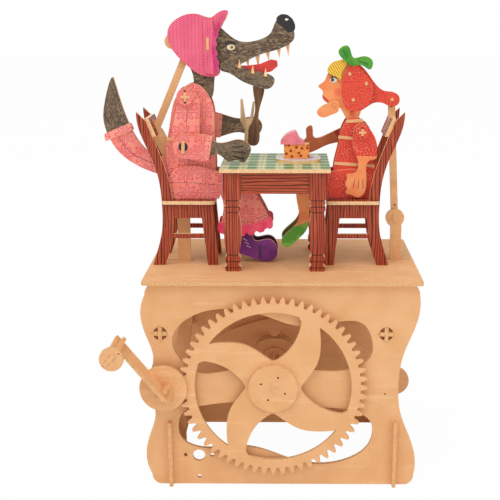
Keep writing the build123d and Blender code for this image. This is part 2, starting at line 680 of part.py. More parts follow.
def leg_outline(x):
    """A turned-looking leg: foot, vase, beads and square block."""
    feet = [(x + half, STAGE_TOP + share * LEG_HEIGHT) for half, share in LEG_PROFILE]
    other = [(x - half, STAGE_TOP + share * LEG_HEIGHT) for half, share in LEG_PROFILE]
    with BuildLine() as outline:
        for edge in (feet, other):
            Polyline(*edge[:6])
            ThreePointArc(edge[5], edge[6], edge[8])
            Polyline(*edge[8:], (edge[-1][0], TABLE_BOTTOM))
        Line(feet[0], other[0])
        Line((x + LEG_HALF, TABLE_BOTTOM), (x - LEG_HALF, TABLE_BOTTOM))
    make_face(outline.edges())


with BuildPart() as table_legs:
    for depth in LEG_DEPTHS:
        for side in (-1, 1):
            with BuildSketch(facing(depth)) as outline:
                leg_outline(TABLE_X + side * LEG_X)
            extrude(outline.sketch, amount=-LEG_DEPTH)
save(table_legs.part, "table_legs")

with BuildPart() as long_aprons:
    inner = LEG_X - LEG_HALF
    for depth in (LEG_DEPTHS[0] + 1.5, LEG_DEPTHS[1] + LEG_DEPTH - BOARD - 1.5):
        with BuildSketch(facing(depth)):
            with Locations((TABLE_X, TABLE_BOTTOM - APRON / 2)):
                Rectangle(2 * inner, APRON)
        extrude(amount=-BOARD)
save(long_aprons.part, "table_aprons")

with BuildPart() as plate:
    with BuildSketch(Plane.XY.offset(TABLE_TOP)):
        with Locations((PLATE_X, PLATE_Y)):
            Circle(PLATE_RADIUS)
    extrude(amount=BOARD)
save(plate.part, "plate")

CAKE_LEFT = PLATE_X - 12.0
CAKE_RIGHT = PLATE_X + 9.3
CAKE_TOP = TABLE_TOP + BOARD + 12.0
CAKE_FRONT = PLATE_Y - 2 * BOARD
with BuildPart() as cake:
    with BuildSketch(facing(CAKE_FRONT)):
        angular([(CAKE_LEFT, TABLE_TOP + BOARD), (CAKE_RIGHT, TABLE_TOP + BOARD),
                 (CAKE_RIGHT, CAKE_TOP), (CAKE_LEFT, CAKE_TOP)])
    extrude(amount=-4 * BOARD)
save(cake.part, "cake_slice")

with BuildPart() as icing:
    with BuildSketch(facing(CAKE_FRONT - 1)):
        with BuildLine():
            Polyline((CAKE_RIGHT - 4, CAKE_TOP), (CAKE_LEFT - 3, CAKE_TOP), (CAKE_LEFT - 3, CAKE_TOP + 2))
            ThreePointArc((CAKE_LEFT - 3, CAKE_TOP + 2), (CAKE_LEFT + 2, CAKE_TOP + 8), (CAKE_LEFT + 10, CAKE_TOP + 11))
            Polyline((CAKE_LEFT + 10, CAKE_TOP + 11), (CAKE_LEFT + 13, CAKE_TOP + 5),
                     (CAKE_RIGHT - 4, CAKE_TOP + 2), (CAKE_RIGHT - 4, CAKE_TOP))
        make_face()
    extrude(amount=-(4 * BOARD + 2))
save(icing.part, "cake_icing")

# ---------------------------------------------------------------------------
# Left figure: a long-snouted diner in a knitted cap
# ---------------------------------------------------------------------------
LEFT_NEAR = LEFT_LAYER - 2 * BOARD - 2       # front face of the near coat board
LEFT_FAR = LEFT_LAYER + 2 * BOARD + 2        # front face of the far coat board
LEFT_THIGHS = (LEFT_NEAR - BOARD, LEFT_FAR + BOARD)
LEFT_ARMS = (LEFT_THIGHS[0] - RUN - BOARD, LEFT_THIGHS[1] + BOARD + RUN)
LEFT_FOREARM = LEFT_ARMS[0] - RUN - BOARD
WASHER = 7.0


def boards(points, depths, name):
    """Equal boards with one smooth outline, at each of the depths."""
    with BuildPart() as group:
        for depth in depths:
            with BuildSketch(facing(depth)) as outline:
                smooth(points)
            extrude(outline.sketch, amount=-BOARD)
    save(group.part, name)


def pin(centre, near, far, radius=PIN):
    """A round pin from one depth to another."""
    with BuildSketch(facing(near)) as section:
        with Locations(centre):
            Circle(radius)
    extrude(section.sketch, amount=-(far - near))


def ring(centre, depth, radius=WASHER):
    """A washer round a pin."""
    with BuildSketch(facing(depth)) as section:
        with Locations(centre):
            Circle(radius)
            Circle(PIN + FIT, mode=Mode.SUBTRACT)
    extrude(section.sketch, amount=-BOARD)


def block(centre, width, height, near, far):
    """A spacer between two boards."""
    with BuildSketch(facing(near)) as section:
        with Locations(centre):
            Rectangle(width, height)
    extrude(section.sketch, amount=-(far - near))


def jointed_board(points, depth, holes=(), pins=()):
    """A board with pivot holes and with pins of its own that stand out."""
    with BuildPart() as board:
        with BuildSketch(facing(depth)) as outline:
            smooth(points)
            for hole in holes:
                with Locations(hole):
                    Circle(PIN + PIN_PLAY, mode=Mode.SUBTRACT)
        extrude(outline.sketch, amount=-BOARD)
        for centre, near, far in pins:
            pin(centre, near, far)
    return board


boards([(-95, 254), (-98, 275), (-94, 300), (-85, 326), (-73, 332), (-62, 323),
        (-57, 300), (-57, 276), (-60, 252), (-76, 247)], (LEFT_NEAR, LEFT_FAR), "diner_coat_boards")

with BuildPart() as left_pins:
    pin(LEFT_NECK, LEFT_NEAR + BOARD, LEFT_FAR)
    pin(LEFT_SHOULDER, LEFT_ARMS[0] - RUN - BOARD, LEFT_NEAR)
    pin(LEFT_SHOULDER, LEFT_FAR + BOARD, LEFT_ARMS[1] + BOARD + 1)
    ring(LEFT_SHOULDER, LEFT_THIGHS[0])
    ring(LEFT_SHOULDER, LEFT_THIGHS[1])
    ring(LEFT_SHOULDER, LEFT_ARMS[0] - RUN - BOARD)
    block((-64.0, 266.0), 6.0, 22.0, LEFT_NEAR + BOARD, LEFT_FAR)
save(left_pins.part, "diner_pins_and_washers")

boards([(-94, 238), (-97, 248), (-93, 259), (-80, 264), (-60, 261), (-44, 255), (-28, 246),
        (-17, 230), (-11.5, 213), (-32, 207), (-52, 209), (-50.5, 226), (-54, 240.6), (-74, 240.6)],
       LEFT_THIGHS, "diner_skirt_boards")
boards([(-37, 212), (-28, 211), (-24, 199), (-12, 200), (-5.5, 194), (-7, 183), (-18, 181.2),
        (-32, 186), (-42, 191), (-43, 201)],
       (LEFT_NEAR, LEFT_FAR), "diner_boots")
boards([(-140, 335.5), (-135, 317), (-128, 297), (-118, 280), (-104, 271), (-92, 269), (-88, 262),
        (-94, 256), (-108, 257), (-124, 264), (-139, 276), (-149, 296), (-148, 318)],
       (LEFT_NEAR + BOARD,), "diner_tail")

left_sleeve = jointed_board(
    [(-89, 276), (-92, 290), (-88, 312), (-81, 330), (-72, 325), (-69, 300), (-71, 280), (-80, 272)],
    LEFT_ARMS[0], holes=(LEFT_SHOULDER,), pins=((LEFT_ELBOW, LEFT_FOREARM - 1, LEFT_ARMS[0]),),
)
save(left_sleeve.part, "diner_near_sleeve")

left_forearm = jointed_board(
    [(-91, 281), (-86, 290), (-72, 291), (-61, 290), (-58, 286.5), (-48, 284.5), (-38, 287), (-31, 285.5),
     (-26.5, 280), (-29, 272), (-33, 268), (-38, 270), (-44, 268.6), (-50, 272.5), (-58, 275), (-62, 270),
     (-74, 270.5), (-86, 272)],
    LEFT_FOREARM, holes=(LEFT_ELBOW,),
)
save(left_forearm.part, "diner_near_forearm")

left_far_arm = jointed_board(
    [(-87, 322), (-80, 329), (-72, 324), (-64, 310), (-50, 304), (-36, 301), (-24, 302), (-18, 295),
     (-22, 287), (-36, 289), (-52, 286), (-70, 286), (-82, 296)],
    LEFT_ARMS[1], holes=(LEFT_SHOULDER,),
)
save(left_far_arm.part, "diner_far_arm")

with BuildPart() as fork:
    with BuildSketch(facing(LEFT_FOREARM + BOARD)):
        angular([(-32.5, 274), (-29.5, 274), (-28.5, 296), (-24.5, 303), (-23.0, 318), (-24.6, 318),
                 (-27.2, 304), (-30.8, 304), (-33.0, 320), (-34.8, 320), (-35.0, 302), (-31.5, 296)])
    extrude(amount=-2)
save(fork.part, "fork")

with BuildPart() as knife:
    with BuildSketch(facing(LEFT_ARMS[1] - 2)):
        smooth([(-27, 278), (-24, 278), (-21, 300), (-17.5, 318), (-18, 331), (-23, 332), (-24.5, 318), (-26.5, 298)])
    extrude(amount=-2)
save(knife.part, "knife")

JAW_LEFT = LEFT_LAYER - RUN - BOARD
left_head = jointed_board(
    [(-75, 317), (-68, 314.5), (-61, 318), (-57.5, 330), (-55, 341), (-42, 345), (-22, 354), (0, 361),
     (9, 368), (7.5, 379), (2, 386), (-5, 383), (-10, 373), (-22, 366.5), (-36, 366), (-48, 374),
     (-60, 383), (-76, 384), (-87, 374), (-85, 358), (-76, 342), (-75, 328)],
    LEFT_LAYER, holes=(LEFT_NECK,),
    pins=(
        (LEFT_CROWN, LEFT_LAYER + BOARD, LEFT_LAYER + 2 * BOARD + RUN),
        (LEFT_JAW, JAW_LEFT - 1, LEFT_LAYER),
    ),
)
save(left_head.part, "diner_head")

left_jaw = jointed_board(
    [(-52, 345), (-49, 351), (-42, 350), (-28, 343), (-14, 340), (-7, 335), (-10, 328.5), (-22, 329),
     (-36, 335), (-47, 341)],
    JAW_LEFT, holes=(LEFT_JAW,),
)
save(left_jaw.part, "diner_jaw")

TEETH = [       # x, gum line and length of each tooth
    (-37.0, 347.2, 7.0), (-30.0, 350.4, 5.5), (-21.5, 354.2, 11.0),
    (-13.0, 356.9, 7.0), (-4.0, 359.7, 8.0), (3.5, 363.6, 10.5),
]
with BuildPart() as teeth:
    with BuildSketch(facing(LEFT_LAYER + BOARD)):
        for x, gum, length in TEETH:
            angular([(x - 2.4, gum + 2.5), (x + 2.4, gum + 3.5), (x + 1.2, gum - length)])
    extrude(amount=-2)
save(teeth.part, "diner_teeth")

CAP_FAR = LEFT_LAYER + 2 * BOARD + 2 * RUN
cap_points = [
    (-56, 337.5), (-68, 339), (-82, 349), (-93, 363), (-94, 376), (-84, 385.5), (-70, 387.5),
    (-59, 385), (-52, 389.5), (-46, 390.5), (-49, 381), (-54, 371), (-55, 354),
]
with BuildPart() as left_cap:
    for depth in (LEFT_LAYER - BOARD, CAP_FAR):
        with BuildSketch(facing(depth)) as dome:
            smooth(cap_points)
        extrude(dome.sketch, amount=-BOARD)
    with BuildSketch(facing(LEFT_LAYER - 2 * BOARD)) as cuff:
        angular([(-57, 339), (-64, 341), (-65, 383), (-58, 383.5), (-55.5, 368)])
    extrude(cuff.sketch, amount=-BOARD)
    block((-60.0, 362.0), 6.0, 10.0, LEFT_LAYER + BOARD, CAP_FAR)
save(left_cap.part, "diner_cap_boards")

# ---------------------------------------------------------------------------
# Right figure: a doll in a stocking cap
# ---------------------------------------------------------------------------
RIGHT_NEAR = RIGHT_LAYER - 2 * BOARD - 2
RIGHT_FAR = RIGHT_LAYER + 2 * BOARD + 2
RIGHT_THIGHS = (RIGHT_NEAR - BOARD, RIGHT_FAR + BOARD)
RIGHT_ARMS = (RIGHT_THIGHS[0] - RUN - BOARD, RIGHT_THIGHS[1] + BOARD + RUN)
FACE = RIGHT_LAYER - BOARD

boards([(52, 300), (58, 304), (65, 302), (71, 291), (77, 267), (74, 243), (60, 238.5), (47, 243),
        (43, 262), (47, 281)], (RIGHT_NEAR, RIGHT_FAR), "doll_coat_boards")
boards([(74, 240), (77, 249), (69, 258.5), (50, 260), (30, 257), (14, 251), (11.5, 236), (13, 216),
        (5, 207), (-1, 197), (2, 193.2), (12, 199), (20, 208), (22.5, 218), (24, 232), (34, 239.6), (54, 238.8)],
       RIGHT_THIGHS, "doll_legs")

with BuildPart() as right_pins:
    pin(RIGHT_NECK, RIGHT_NEAR + BOARD, RIGHT_FAR)
    pin(RIGHT_SHOULDER, RIGHT_ARMS[0] - RUN - BOARD, RIGHT_NEAR)
    pin(RIGHT_SHOULDER, RIGHT_FAR + BOARD, RIGHT_ARMS[1] + BOARD + 1)
    ring(RIGHT_SHOULDER, RIGHT_THIGHS[0])
    ring(RIGHT_SHOULDER, RIGHT_THIGHS[1])
    ring(RIGHT_SHOULDER, RIGHT_ARMS[0] - RUN - BOARD, WASHER - 1.5)
    block((60.0, 262.0), 20.0, 8.0, RIGHT_NEAR + BOARD, RIGHT_FAR)
save(right_pins.part, "doll_pins_and_washers")

right_near_arm = jointed_board(
    [(59, 292), (65, 300), (73, 294), (79, 275), (78, 270.5), (72.5, 268.5), (70, 258), (70, 246),
     (67.5, 239.5), (63, 237.2), (58.5, 239), (53, 241.5), (54, 245), (52.5, 249), (54, 252.5), (53.5, 256.5),
     (59, 257.5), (63, 262), (62, 271)],
    RIGHT_ARMS[0], holes=(RIGHT_SHOULDER,),
)
save(right_near_arm.part, "doll_near_arm")

right_far_arm = jointed_board(
    [(59, 299), (67, 300), (73, 292), (66, 284), (50, 280.5), (36, 277), (27, 272.5), (18, 270.8),
     (13, 273.5), (13.5, 280), (19.5, 283.5), (20.5, 293), (24, 294.5), (26, 285.5), (40, 288)],
    RIGHT_ARMS[1], holes=(RIGHT_SHOULDER,),
)
save(right_far_arm.part, "doll_far_arm")

JAW_RIGHT = FACE - RUN - BOARD
right_head = jointed_board(
    [(53, 303), (58, 300.5), (63, 303), (66, 313), (70, 326), (66, 340), (55, 347), (43, 345),
     (36.5, 338), (34, 333), (29.5, 329), (33, 325.5), (33, 320), (38, 315), (47, 312)],
    FACE, holes=(RIGHT_NECK,), pins=((RIGHT_JAW, JAW_RIGHT - 1, FACE),),
)
save(right_head.part, "doll_head")

right_jaw = jointed_board(
    [(47, 312), (45, 318), (39, 316), (31, 312), (28.5, 307.5), (32, 304), (42, 306.5)],
    JAW_RIGHT, holes=(RIGHT_JAW,),
)
save(right_jaw.part, "doll_jaw")

with BuildPart() as right_cap:
    with BuildSketch(facing(RIGHT_LAYER)):
        smooth([(51, 309), (46, 320), (43, 333), (47, 346), (56, 350), (65, 346), (75, 334),
                (86, 325), (94, 323.5), (97, 318), (92, 312.5), (84, 315), (76, 315), (66, 309)])
        with Locations(RIGHT_NECK):
            Circle(PIN + PIN_PLAY, mode=Mode.SUBTRACT)
    extrude(amount=-BOARD)
    with BuildSketch(facing(FACE - BOARD)):
        smooth([(52, 312), (49, 322), (51, 338), (58, 347), (67, 341), (75, 328), (71, 314), (62, 309)])
    extrude(amount=-BOARD)
    pin(RIGHT_TAIL, RIGHT_LAYER + BOARD, RIGHT_LAYER + 2 * BOARD + RUN)
save(right_cap.part, "doll_cap_boards")

with BuildPart() as hair:
    with BuildSketch(facing(FACE - BOARD)):
        smooth([(47.5, 334), (42, 338), (37, 341.5), (39, 347), (46, 350.5), (53, 350.5), (50.5, 344), (48.5, 339)])
    extrude(amount=-BOARD)
save(hair.part, "doll_hair")

with BuildPart() as bow:
    with BuildSketch(facing(FACE - 2 * BOARD)):
        smooth([(58, 346), (50, 351), (46, 359), (53, 362.5), (58, 353), (66, 354), (74, 349), (72, 343.5), (64, 347)])
    extrude(amount=-BOARD)
save(bow.part, "doll_bow")
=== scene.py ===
from math import cos, pi, radians, sin

import bmesh
import bpy
from bpy.props import FloatProperty, FloatVectorProperty, PointerProperty
from mathutils import Matrix, Vector


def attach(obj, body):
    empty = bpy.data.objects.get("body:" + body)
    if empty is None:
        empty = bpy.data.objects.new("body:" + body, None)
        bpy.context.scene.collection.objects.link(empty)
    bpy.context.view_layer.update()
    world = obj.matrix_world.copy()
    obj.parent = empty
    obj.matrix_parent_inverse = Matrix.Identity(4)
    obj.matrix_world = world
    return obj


bl_info = {
    "name": "Wooden crank automaton",
    "version": (1, 0, 0),
    "blender": (4, 5, 0),
    "location": "3D View > Sidebar > Automaton",
    "description": "Finishes, small fittings and stage of a laser-cut table scene",
    "category": "Object",
}

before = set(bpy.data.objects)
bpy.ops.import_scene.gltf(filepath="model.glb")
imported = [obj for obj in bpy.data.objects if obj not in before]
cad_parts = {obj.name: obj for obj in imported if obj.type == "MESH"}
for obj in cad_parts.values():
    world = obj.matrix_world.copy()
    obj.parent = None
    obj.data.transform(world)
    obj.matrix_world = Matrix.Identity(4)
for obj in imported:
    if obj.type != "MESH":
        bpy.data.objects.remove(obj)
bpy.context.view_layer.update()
MM = 0.001
FRONT, LEVEL, SIDE = 1, 2, 0        # the axis that a board's printed faces look along

# Depths of the front faces of CAD pieces, in millimetres behind the front panel's face.
KNOB, RIGHT_LEVER, RIGHT_ROD = -52.8, 69.0, 72.4
DINER_HEAD, DINER_CUFF, DINER_JAW, DINER_COAT, BOOT = 65.0, 59.0, 61.6, 57.0, 57.0
FOREARM, ELBOW_PIN, FAR_ARM, TAIL, SKIRT, FAR_SKIRT = 47.2, 46.2, 79.4, 60.0, 54.0, 76.0
DOLL_HEAD, DOLL_CAP, FAR_CAP, DOLL_COAT = 66.0, 63.0, 69.0, 61.0
DOLL_ARM, DOLL_LEG, BOW = 54.6, 58.0, 60.0
DINER_WASHER, DOLL_WASHER = 47.2, 51.2
BOARD = 3.0                         # thickness of every board

# Places in millimetres: an (x, z) pair for each tab or hole, the cheek's blush as a point, and
# the plate's middle as (x, y).
ELBOW = (-82.5, 281.0)
LEVER_BOSS = (96.9, 215.7)
GRIP = (-132.2, 130.8)
CHEEK = (45.5, DOLL_HEAD, 324.0)
PLATE = (12.9, 70.0)

BLUR = 0.1 * MM                     # half the soft border between two printed areas
FLAT, STEEP = 0.8, 0.5              # share of the facing normal where a face turns into a cut edge
DASH, DRAWN = 2.2, 0.32             # length of a stitch with its gap, half the share that is thread
FLOOR_GLOW = 0.965                  # share of the floor that is plain white to the camera

# The camera, in metres, millimetres of lens and degrees.
CAMERA = (0.0068, -0.73825, 0.39076)
LENS, SENSOR, LENS_SHIFT, PITCH, YAW = 68.66, 36, -0.0664, 14.118, 0.472


# ---------------------------------------------------------------------------
# Colour and node helpers
# ---------------------------------------------------------------------------
def shade(code):
    """An sRGB hex value as a linear colour."""
    parts = [int(code[i:i + 2], 16) / 255 for i in (0, 2, 4)]
    return (*[c / 12.92 if c <= 0.04045 else ((c + 0.055) / 1.055) ** 2.4 for c in parts], 1.0)


def colour_prop(name, code, about):
    """A colour a user may change."""
    return FloatVectorProperty(name=name, description=about, subtype="COLOR", size=4,
                               min=0, max=1, default=shade(code))


def size_prop(name, millimetres, about):
    """A length a user may change."""
    return FloatProperty(name=name, description=about, subtype="DISTANCE", unit="LENGTH",
                         min=0, precision=4, default=millimetres * MM)


def add(tree, kind, inputs=(), **settings):
    """One shader node with its settings and links; a node as an input stands for its output."""
    made = tree.nodes.new("ShaderNode" + kind)
    for key, value in settings.items():
        setattr(made, key, value)
    for socket, value in dict(inputs).items():
        if isinstance(value, bpy.types.Node):
            value = next(out for out in value.outputs if out.enabled)
        if isinstance(value, bpy.types.NodeSocket):
            tree.links.new(value, made.inputs[socket])
        else:
            made.inputs[socket].default_value = value
    return made


def start_material(name):
    """A new material: its tree, its surface shader and the object's own coordinates."""
    made = bpy.data.materials.new(name)
    made.use_nodes = True
    tree = made.node_tree
    return made, tree, tree.nodes["Principled BSDF"], add(tree, "TexCoord").outputs


def ink(tree, under, colour, pattern, start, end, strength=1.0):
    """Lay a colour over another where a pattern passes from start to end."""
    amount = add(tree, "MapRange", {0: pattern, 1: start, 2: end, 4: strength},
                 interpolation_type="SMOOTHSTEP")
    return add(tree, "Mix", {0: amount, 6: under, 7: colour}, data_type="RGBA")


def grains(tree, place, per_metre, detail, stretch=(1, 1, 1), distortion=0.0):
    """Irregular grains, so many to the metre, drawn out along an axis by a low stretch."""
    moved = add(tree, "Mapping", {0: place, 3: stretch})
    return add(tree, "TexNoise", {"Vector": moved, "Scale": per_metre, "Detail": detail,
                                  "Distortion": distortion})


def beyond(tree, place, start, end):
    """How far in metres a point of a front-facing board lies to the left of a line."""
    along = Vector((end[0] - start[0], 0, end[1] - start[1])).normalized()
    left = Vector((-along.z, 0, along.x))
    offset = left.dot(Vector((start[0], 0, start[1]))) * MM
    reach = add(tree, "VectorMath", {0: place, 1: left}, operation="DOT_PRODUCT")
    return add(tree, "Math", {0: reach, 1: offset}, operation="SUBTRACT")


def paint_far_shade(tree, under, place, colour, depth, strength):
    """Paint shade on the boards that stand behind a depth, given in millimetres: painted shade for
    the boards set back.
    """
    reach = add(tree, "SeparateXYZ", {0: place}).outputs[1]
    return ink(tree, under, colour, reach, (depth - 1) * MM, (depth + 1) * MM, strength)


def seam(tree, under, place, start, end, thread, width=0.45):
    """Ink a dashed sewing line from one point to another."""
    along = Vector((end[0] - start[0], 0, end[1] - start[1]))
    middle = Vector((start[0] + end[0], 0, start[1] + end[1])) / 2
    unit = along.normalized()
    run = add(tree, "VectorMath", {0: place, 1: unit}, operation="DOT_PRODUCT")
    inside = add(tree, "Math", {0: run, 1: unit.dot(middle) * MM, 2: along.length / 2 * MM},
                 operation="COMPARE")
    wave = add(tree, "Math", {0: run, 1: DASH / 2 * MM}, operation="PINGPONG")
    dashes = add(tree, "Math", {0: wave, 1: DASH * DRAWN * MM}, operation="LESS_THAN")
    away = add(tree, "Math", {0: beyond(tree, place, start, end)}, operation="ABSOLUTE")
    near = add(tree, "Math", {0: away, 1: width / 2 * MM}, operation="LESS_THAN")
    shown = add(tree, "Math", {0: inside, 1: dashes}, operation="MULTIPLY")
    shown = add(tree, "Math", {0: shown, 1: near}, operation="MULTIPLY")
    return add(tree, "Mix", {0: shown, 6: under, 7: thread}, data_type="RGBA")


def scattered(tree, place, spacing, randomness):
    """Distance from, and angle about, the nearest of many spots on a front-facing board."""
    turned = add(tree, "Mapping", {0: place, 2: (radians(-90), 0, 0)})
    spots = add(tree, "TexVoronoi", {"Vector": turned, "Scale": 1 / (spacing * MM),
                                     "Randomness": randomness}, voronoi_dimensions="2D")
    away = add(tree, "VectorMath", {0: turned, 1: spots.outputs["Position"]}, operation="SUBTRACT")
    away = add(tree, "VectorMath", {0: away, 1: (1, 1, 0)}, operation="MULTIPLY")
    length = add(tree, "VectorMath", {0: away}, operation="LENGTH")
    part = add(tree, "SeparateXYZ", {0: away}).outputs
    return length, add(tree, "Math", {0: part[1], 1: part[0]}, operation="ARCTAN2")


def close_board(tree, surface, coords, face, edge, facing, rough=0.6, height=None, depth=0.05):
    """Join a board's face with its laser-cut edges, browner in fine bands, and give it relief."""
    normal = add(tree, "SeparateXYZ", {0: coords["Normal"]}).outputs[facing]
    flat = add(tree, "Math", {0: normal}, operation="ABSOLUTE")
    fibre = grains(tree, coords["Object"], 700, 2, stretch=(1, 0.3, 1))
    burnt = ink(tree, edge, [c * 0.7 for c in edge[:3]] + [1], fibre, 0.45, 0.65, 0.7)
    tone = ink(tree, face, burnt, flat, FLAT, STEEP)
    tree.links.new(tone.outputs[2], surface.inputs["Base Color"])
    surface.inputs["Roughness"].default_value = rough
    surface.inputs["Specular IOR Level"].default_value = 0.3
    if height is not None:
        bump = add(tree, "Bump", {"Height": height, "Distance": depth * MM, "Strength": 0.6})
        tree.links.new(bump.outputs[0], surface.inputs["Normal"])


# ---------------------------------------------------------------------------
# Printed colours, each a colour over the board's face
# ---------------------------------------------------------------------------
def coral_tone(tree, place, settings, ground):
    """Printed cloth: daisies 17 mm wide, each petal a thin outline, a violet one inside the red."""
    length, angle = scattered(tree, place, 17.0, 0.3)
    turns = add(tree, "Math", {0: angle, 1: 4.0}, operation="MULTIPLY")
    tone = ink(tree, ground, shade("F59C8C"), grains(tree, place, 90, 3), 0.35, 0.7, 0.7)
    for reach, beside, outer, colour, strength in (
        ("COSINE", "SINE", 8.6, settings.motif, 0.95),
        ("SINE", "COSINE", 6.2, settings.second, 0.4),
    ):
        petal = add(tree, "Math", {0: turns}, operation=reach)
        petal = add(tree, "Math", {0: petal}, operation="ABSOLUTE")
        slope = add(tree, "Math", {0: turns}, operation=beside)
        slope = add(tree, "Math", {0: slope}, operation="ABSOLUTE")
        slope = add(tree, "Math", {0: slope, 1: 3.0, 2: 1.0}, operation="MULTIPLY_ADD")
        away = add(tree, "Math", {0: petal, 1: -outer * MM, 2: length}, operation="MULTIPLY_ADD")
        away = add(tree, "Math", {0: away}, operation="ABSOLUTE")
        away = add(tree, "Math", {0: away, 1: slope}, operation="DIVIDE")
        tone = ink(tree, tone, colour, away, 0.4 * MM, 0.14 * MM, strength)
    tone = ink(tree, tone, shade("F59A6E"), length, 1.1 * MM, 0.6 * MM)
    small, _ = scattered(tree, place, 4.2, 0.9)
    return ink(tree, tone, shade("C85A7E"), small, 0.5 * MM, 0.25 * MM, 0.5)


def fur_tone(tree, place, settings, stretch):
    """Printed fur: fine light and dark strokes, 0.5 to 2 mm apart, along the limb."""
    wide = grains(tree, place, 130, 3, stretch, 1.2)
    hair = grains(tree, place, 1250, 3, stretch, 0.6)
    tone = ink(tree, settings.fur, shade("79644F"), wide, 0.35, 0.65)
    tone = ink(tree, tone, shade("A58C6C"), hair, 0.53, 0.66, 0.8)
    return ink(tree, tone, shade("2C231D"), hair, 0.46, 0.34, 0.9), hair


def red_tone(tree, place, settings):
    """Printed cloth of the doll: vermilion with pale flecks about 1.5 mm apart, in loose drifts."""
    fleck, _ = scattered(tree, place, 1.5, 1.0)
    drift = grains(tree, place, 110, 3)
    tone = ink(tree, settings.cloth, shade("D23226"), drift, 0.3, 0.55, 0.8)
    away = add(tree, "Math", {0: drift, 1: -0.8 * MM, 2: fleck}, operation="MULTIPLY_ADD")
    tone = ink(tree, tone, settings.speckle, away, -0.02 * MM, -0.25 * MM, 0.75)
    return tone, drift


# ---------------------------------------------------------------------------
# Materials
# ---------------------------------------------------------------------------
def raw_board(name, facing, settings):
    """Medium-density fibreboard, pressed and laser cut: matt and faintly mottled, edges browner."""
    made, tree, surface, coords = start_material(name)
    place = coords["Object"]
    fine = grains(tree, place, 1400, 3)
    tone = ink(tree, settings.board, shade("E3AB76"), grains(tree, place, 45, 3), 0.3, 0.75)
    tone = ink(tree, tone, shade("C08550"), fine, 0.45, 0.7, 0.5)
    streak = grains(tree, place, 160, 3, stretch=(0.12, 1, 1))
    tone = ink(tree, tone, shade("F4C897"), streak, 0.55, 0.75, 0.4)
    close_board(tree, surface, coords, tone, settings.edge, facing, 0.68, fine)
    return made


def stained_board(name, facing, across, settings, rings=()):
    """Board printed as turned timber: dark lines 1 to 2.4 mm apart along the grain, bare edges."""
    made, tree, surface, coords = start_material(name)
    place = coords["Object"]
    along = {0: 2, 2: 0}[across] if facing == FRONT else 1
    stretch = tuple(0.12 if axis == along else 1.0 for axis in range(3))
    part = add(tree, "SeparateXYZ", {0: place}).outputs
    wander = grains(tree, place, 90, 2, stretch)
    fibre = grains(tree, place, 330, 3, stretch)
    tone = ink(tree, settings.stain, shade("C25C38"), fibre, 0.4, 0.7)
    for spacing, reach, start, end, strength in (
        (2.4, 9.0, 0.3, 0.9, 0.9),
        (1.0, 5.0, 0.4, 1.0, 0.5),
    ):
        bent = add(tree, "Math", {0: wander, 1: reach * MM}, operation="MULTIPLY")
        bent = add(tree, "Math", {0: bent, 1: part[across]}, operation="ADD")
        lines = add(tree, "Math", {0: bent, 1: 2 * pi / (spacing * MM)}, operation="MULTIPLY")
        lines = add(tree, "Math", {0: lines}, operation="SINE")
        tone = ink(tree, tone, settings.grain, lines, start, end, strength)
    for height in rings:
        away = add(tree, "Math", {0: part[2], 1: height * MM, 2: 0.45 * MM}, operation="COMPARE")
        tone = ink(tree, tone, settings.grain, away, 0.0, 1.0, 0.85)
    close_board(tree, surface, coords, tone, settings.bare, facing, 0.45, wander)
    return made


def coral_print(name, settings, ground=None, seams=()):
    """Board printed as cloth, satin ink: coral ground, daisies and dashed sewing lines."""
    made, tree, surface, coords = start_material(name)
    place = coords["Object"]
    tone = coral_tone(tree, place, settings, ground or settings.cloth)
    for start, end in seams:
        tone = seam(tree, tone, place, start, end, shade("6A3350"))
    close_board(tree, surface, coords, tone, settings.bare, FRONT, 0.55)
    return made


def limb_print(name, settings, stretch, line, ground=None, seams=()):
    """Board printed as fur past a cuff and as coral cloth before it, left of the line being fur."""
    made, tree, surface, coords = start_material(name)
    place = coords["Object"]
    cloth = coral_tone(tree, place, settings, ground or settings.cloth)
    for start, end in seams:
        cloth = seam(tree, cloth, place, start, end, shade("5A2C4A"), width=0.7)
    fur, hair = fur_tone(tree, place, settings, stretch)
    tone = ink(tree, cloth, fur, beyond(tree, place, *line), -BLUR, BLUR)
    close_board(tree, surface, coords, tone, settings.bare, FRONT, 0.58, hair)
    return made


def fur_print(name, settings, stretch):
    """Board printed as fur all over, its cut edges toned to match."""
    made, tree, surface, coords = start_material(name)
    tone, hair = fur_tone(tree, coords["Object"], settings, stretch)
    close_board(tree, surface, coords, tone, settings.dark_edge, FRONT, 0.6, hair)
    return made


def knit_print(name, settings):
    """Board printed as pink knitting: small chevrons in upright rows 3 mm wide, one sewn seam."""
    made, tree, surface, coords = start_material(name)
    place = coords["Object"]
    part = add(tree, "SeparateXYZ", {0: place}).outputs
    across = add(tree, "Math", {0: part[0], 1: 1.5 * MM}, operation="PINGPONG")
    slant = add(tree, "Math", {0: across, 1: 1.1}, operation="MULTIPLY")
    slant = add(tree, "Math", {0: slant, 1: part[2]}, operation="ADD")
    rows = add(tree, "Math", {0: slant, 1: 2 * pi / (1.7 * MM)}, operation="MULTIPLY")
    rows = add(tree, "Math", {0: rows}, operation="SINE")
    tone = ink(tree, settings.cap, shade("E8587C"), grains(tree, place, 90, 2), 0.3, 0.7)
    tone = ink(tree, tone, shade("F6989C"), rows, 0.0, 0.9, 0.75)
    tone = ink(tree, tone, shade("C0326A"), across, 0.35 * MM, 0.05 * MM, 0.6)
    tone = seam(tree, tone, place, (-61.7, 342.0), (-61.7, 357.5), shade("7A2A4E"))
    tone = seam(tree, tone, place, (-61.7, 370.5), (-61.7, 383.0), shade("7A2A4E"))
    close_board(tree, surface, coords, tone, settings.bare, FRONT, 0.62, rows, 0.1)
    return made


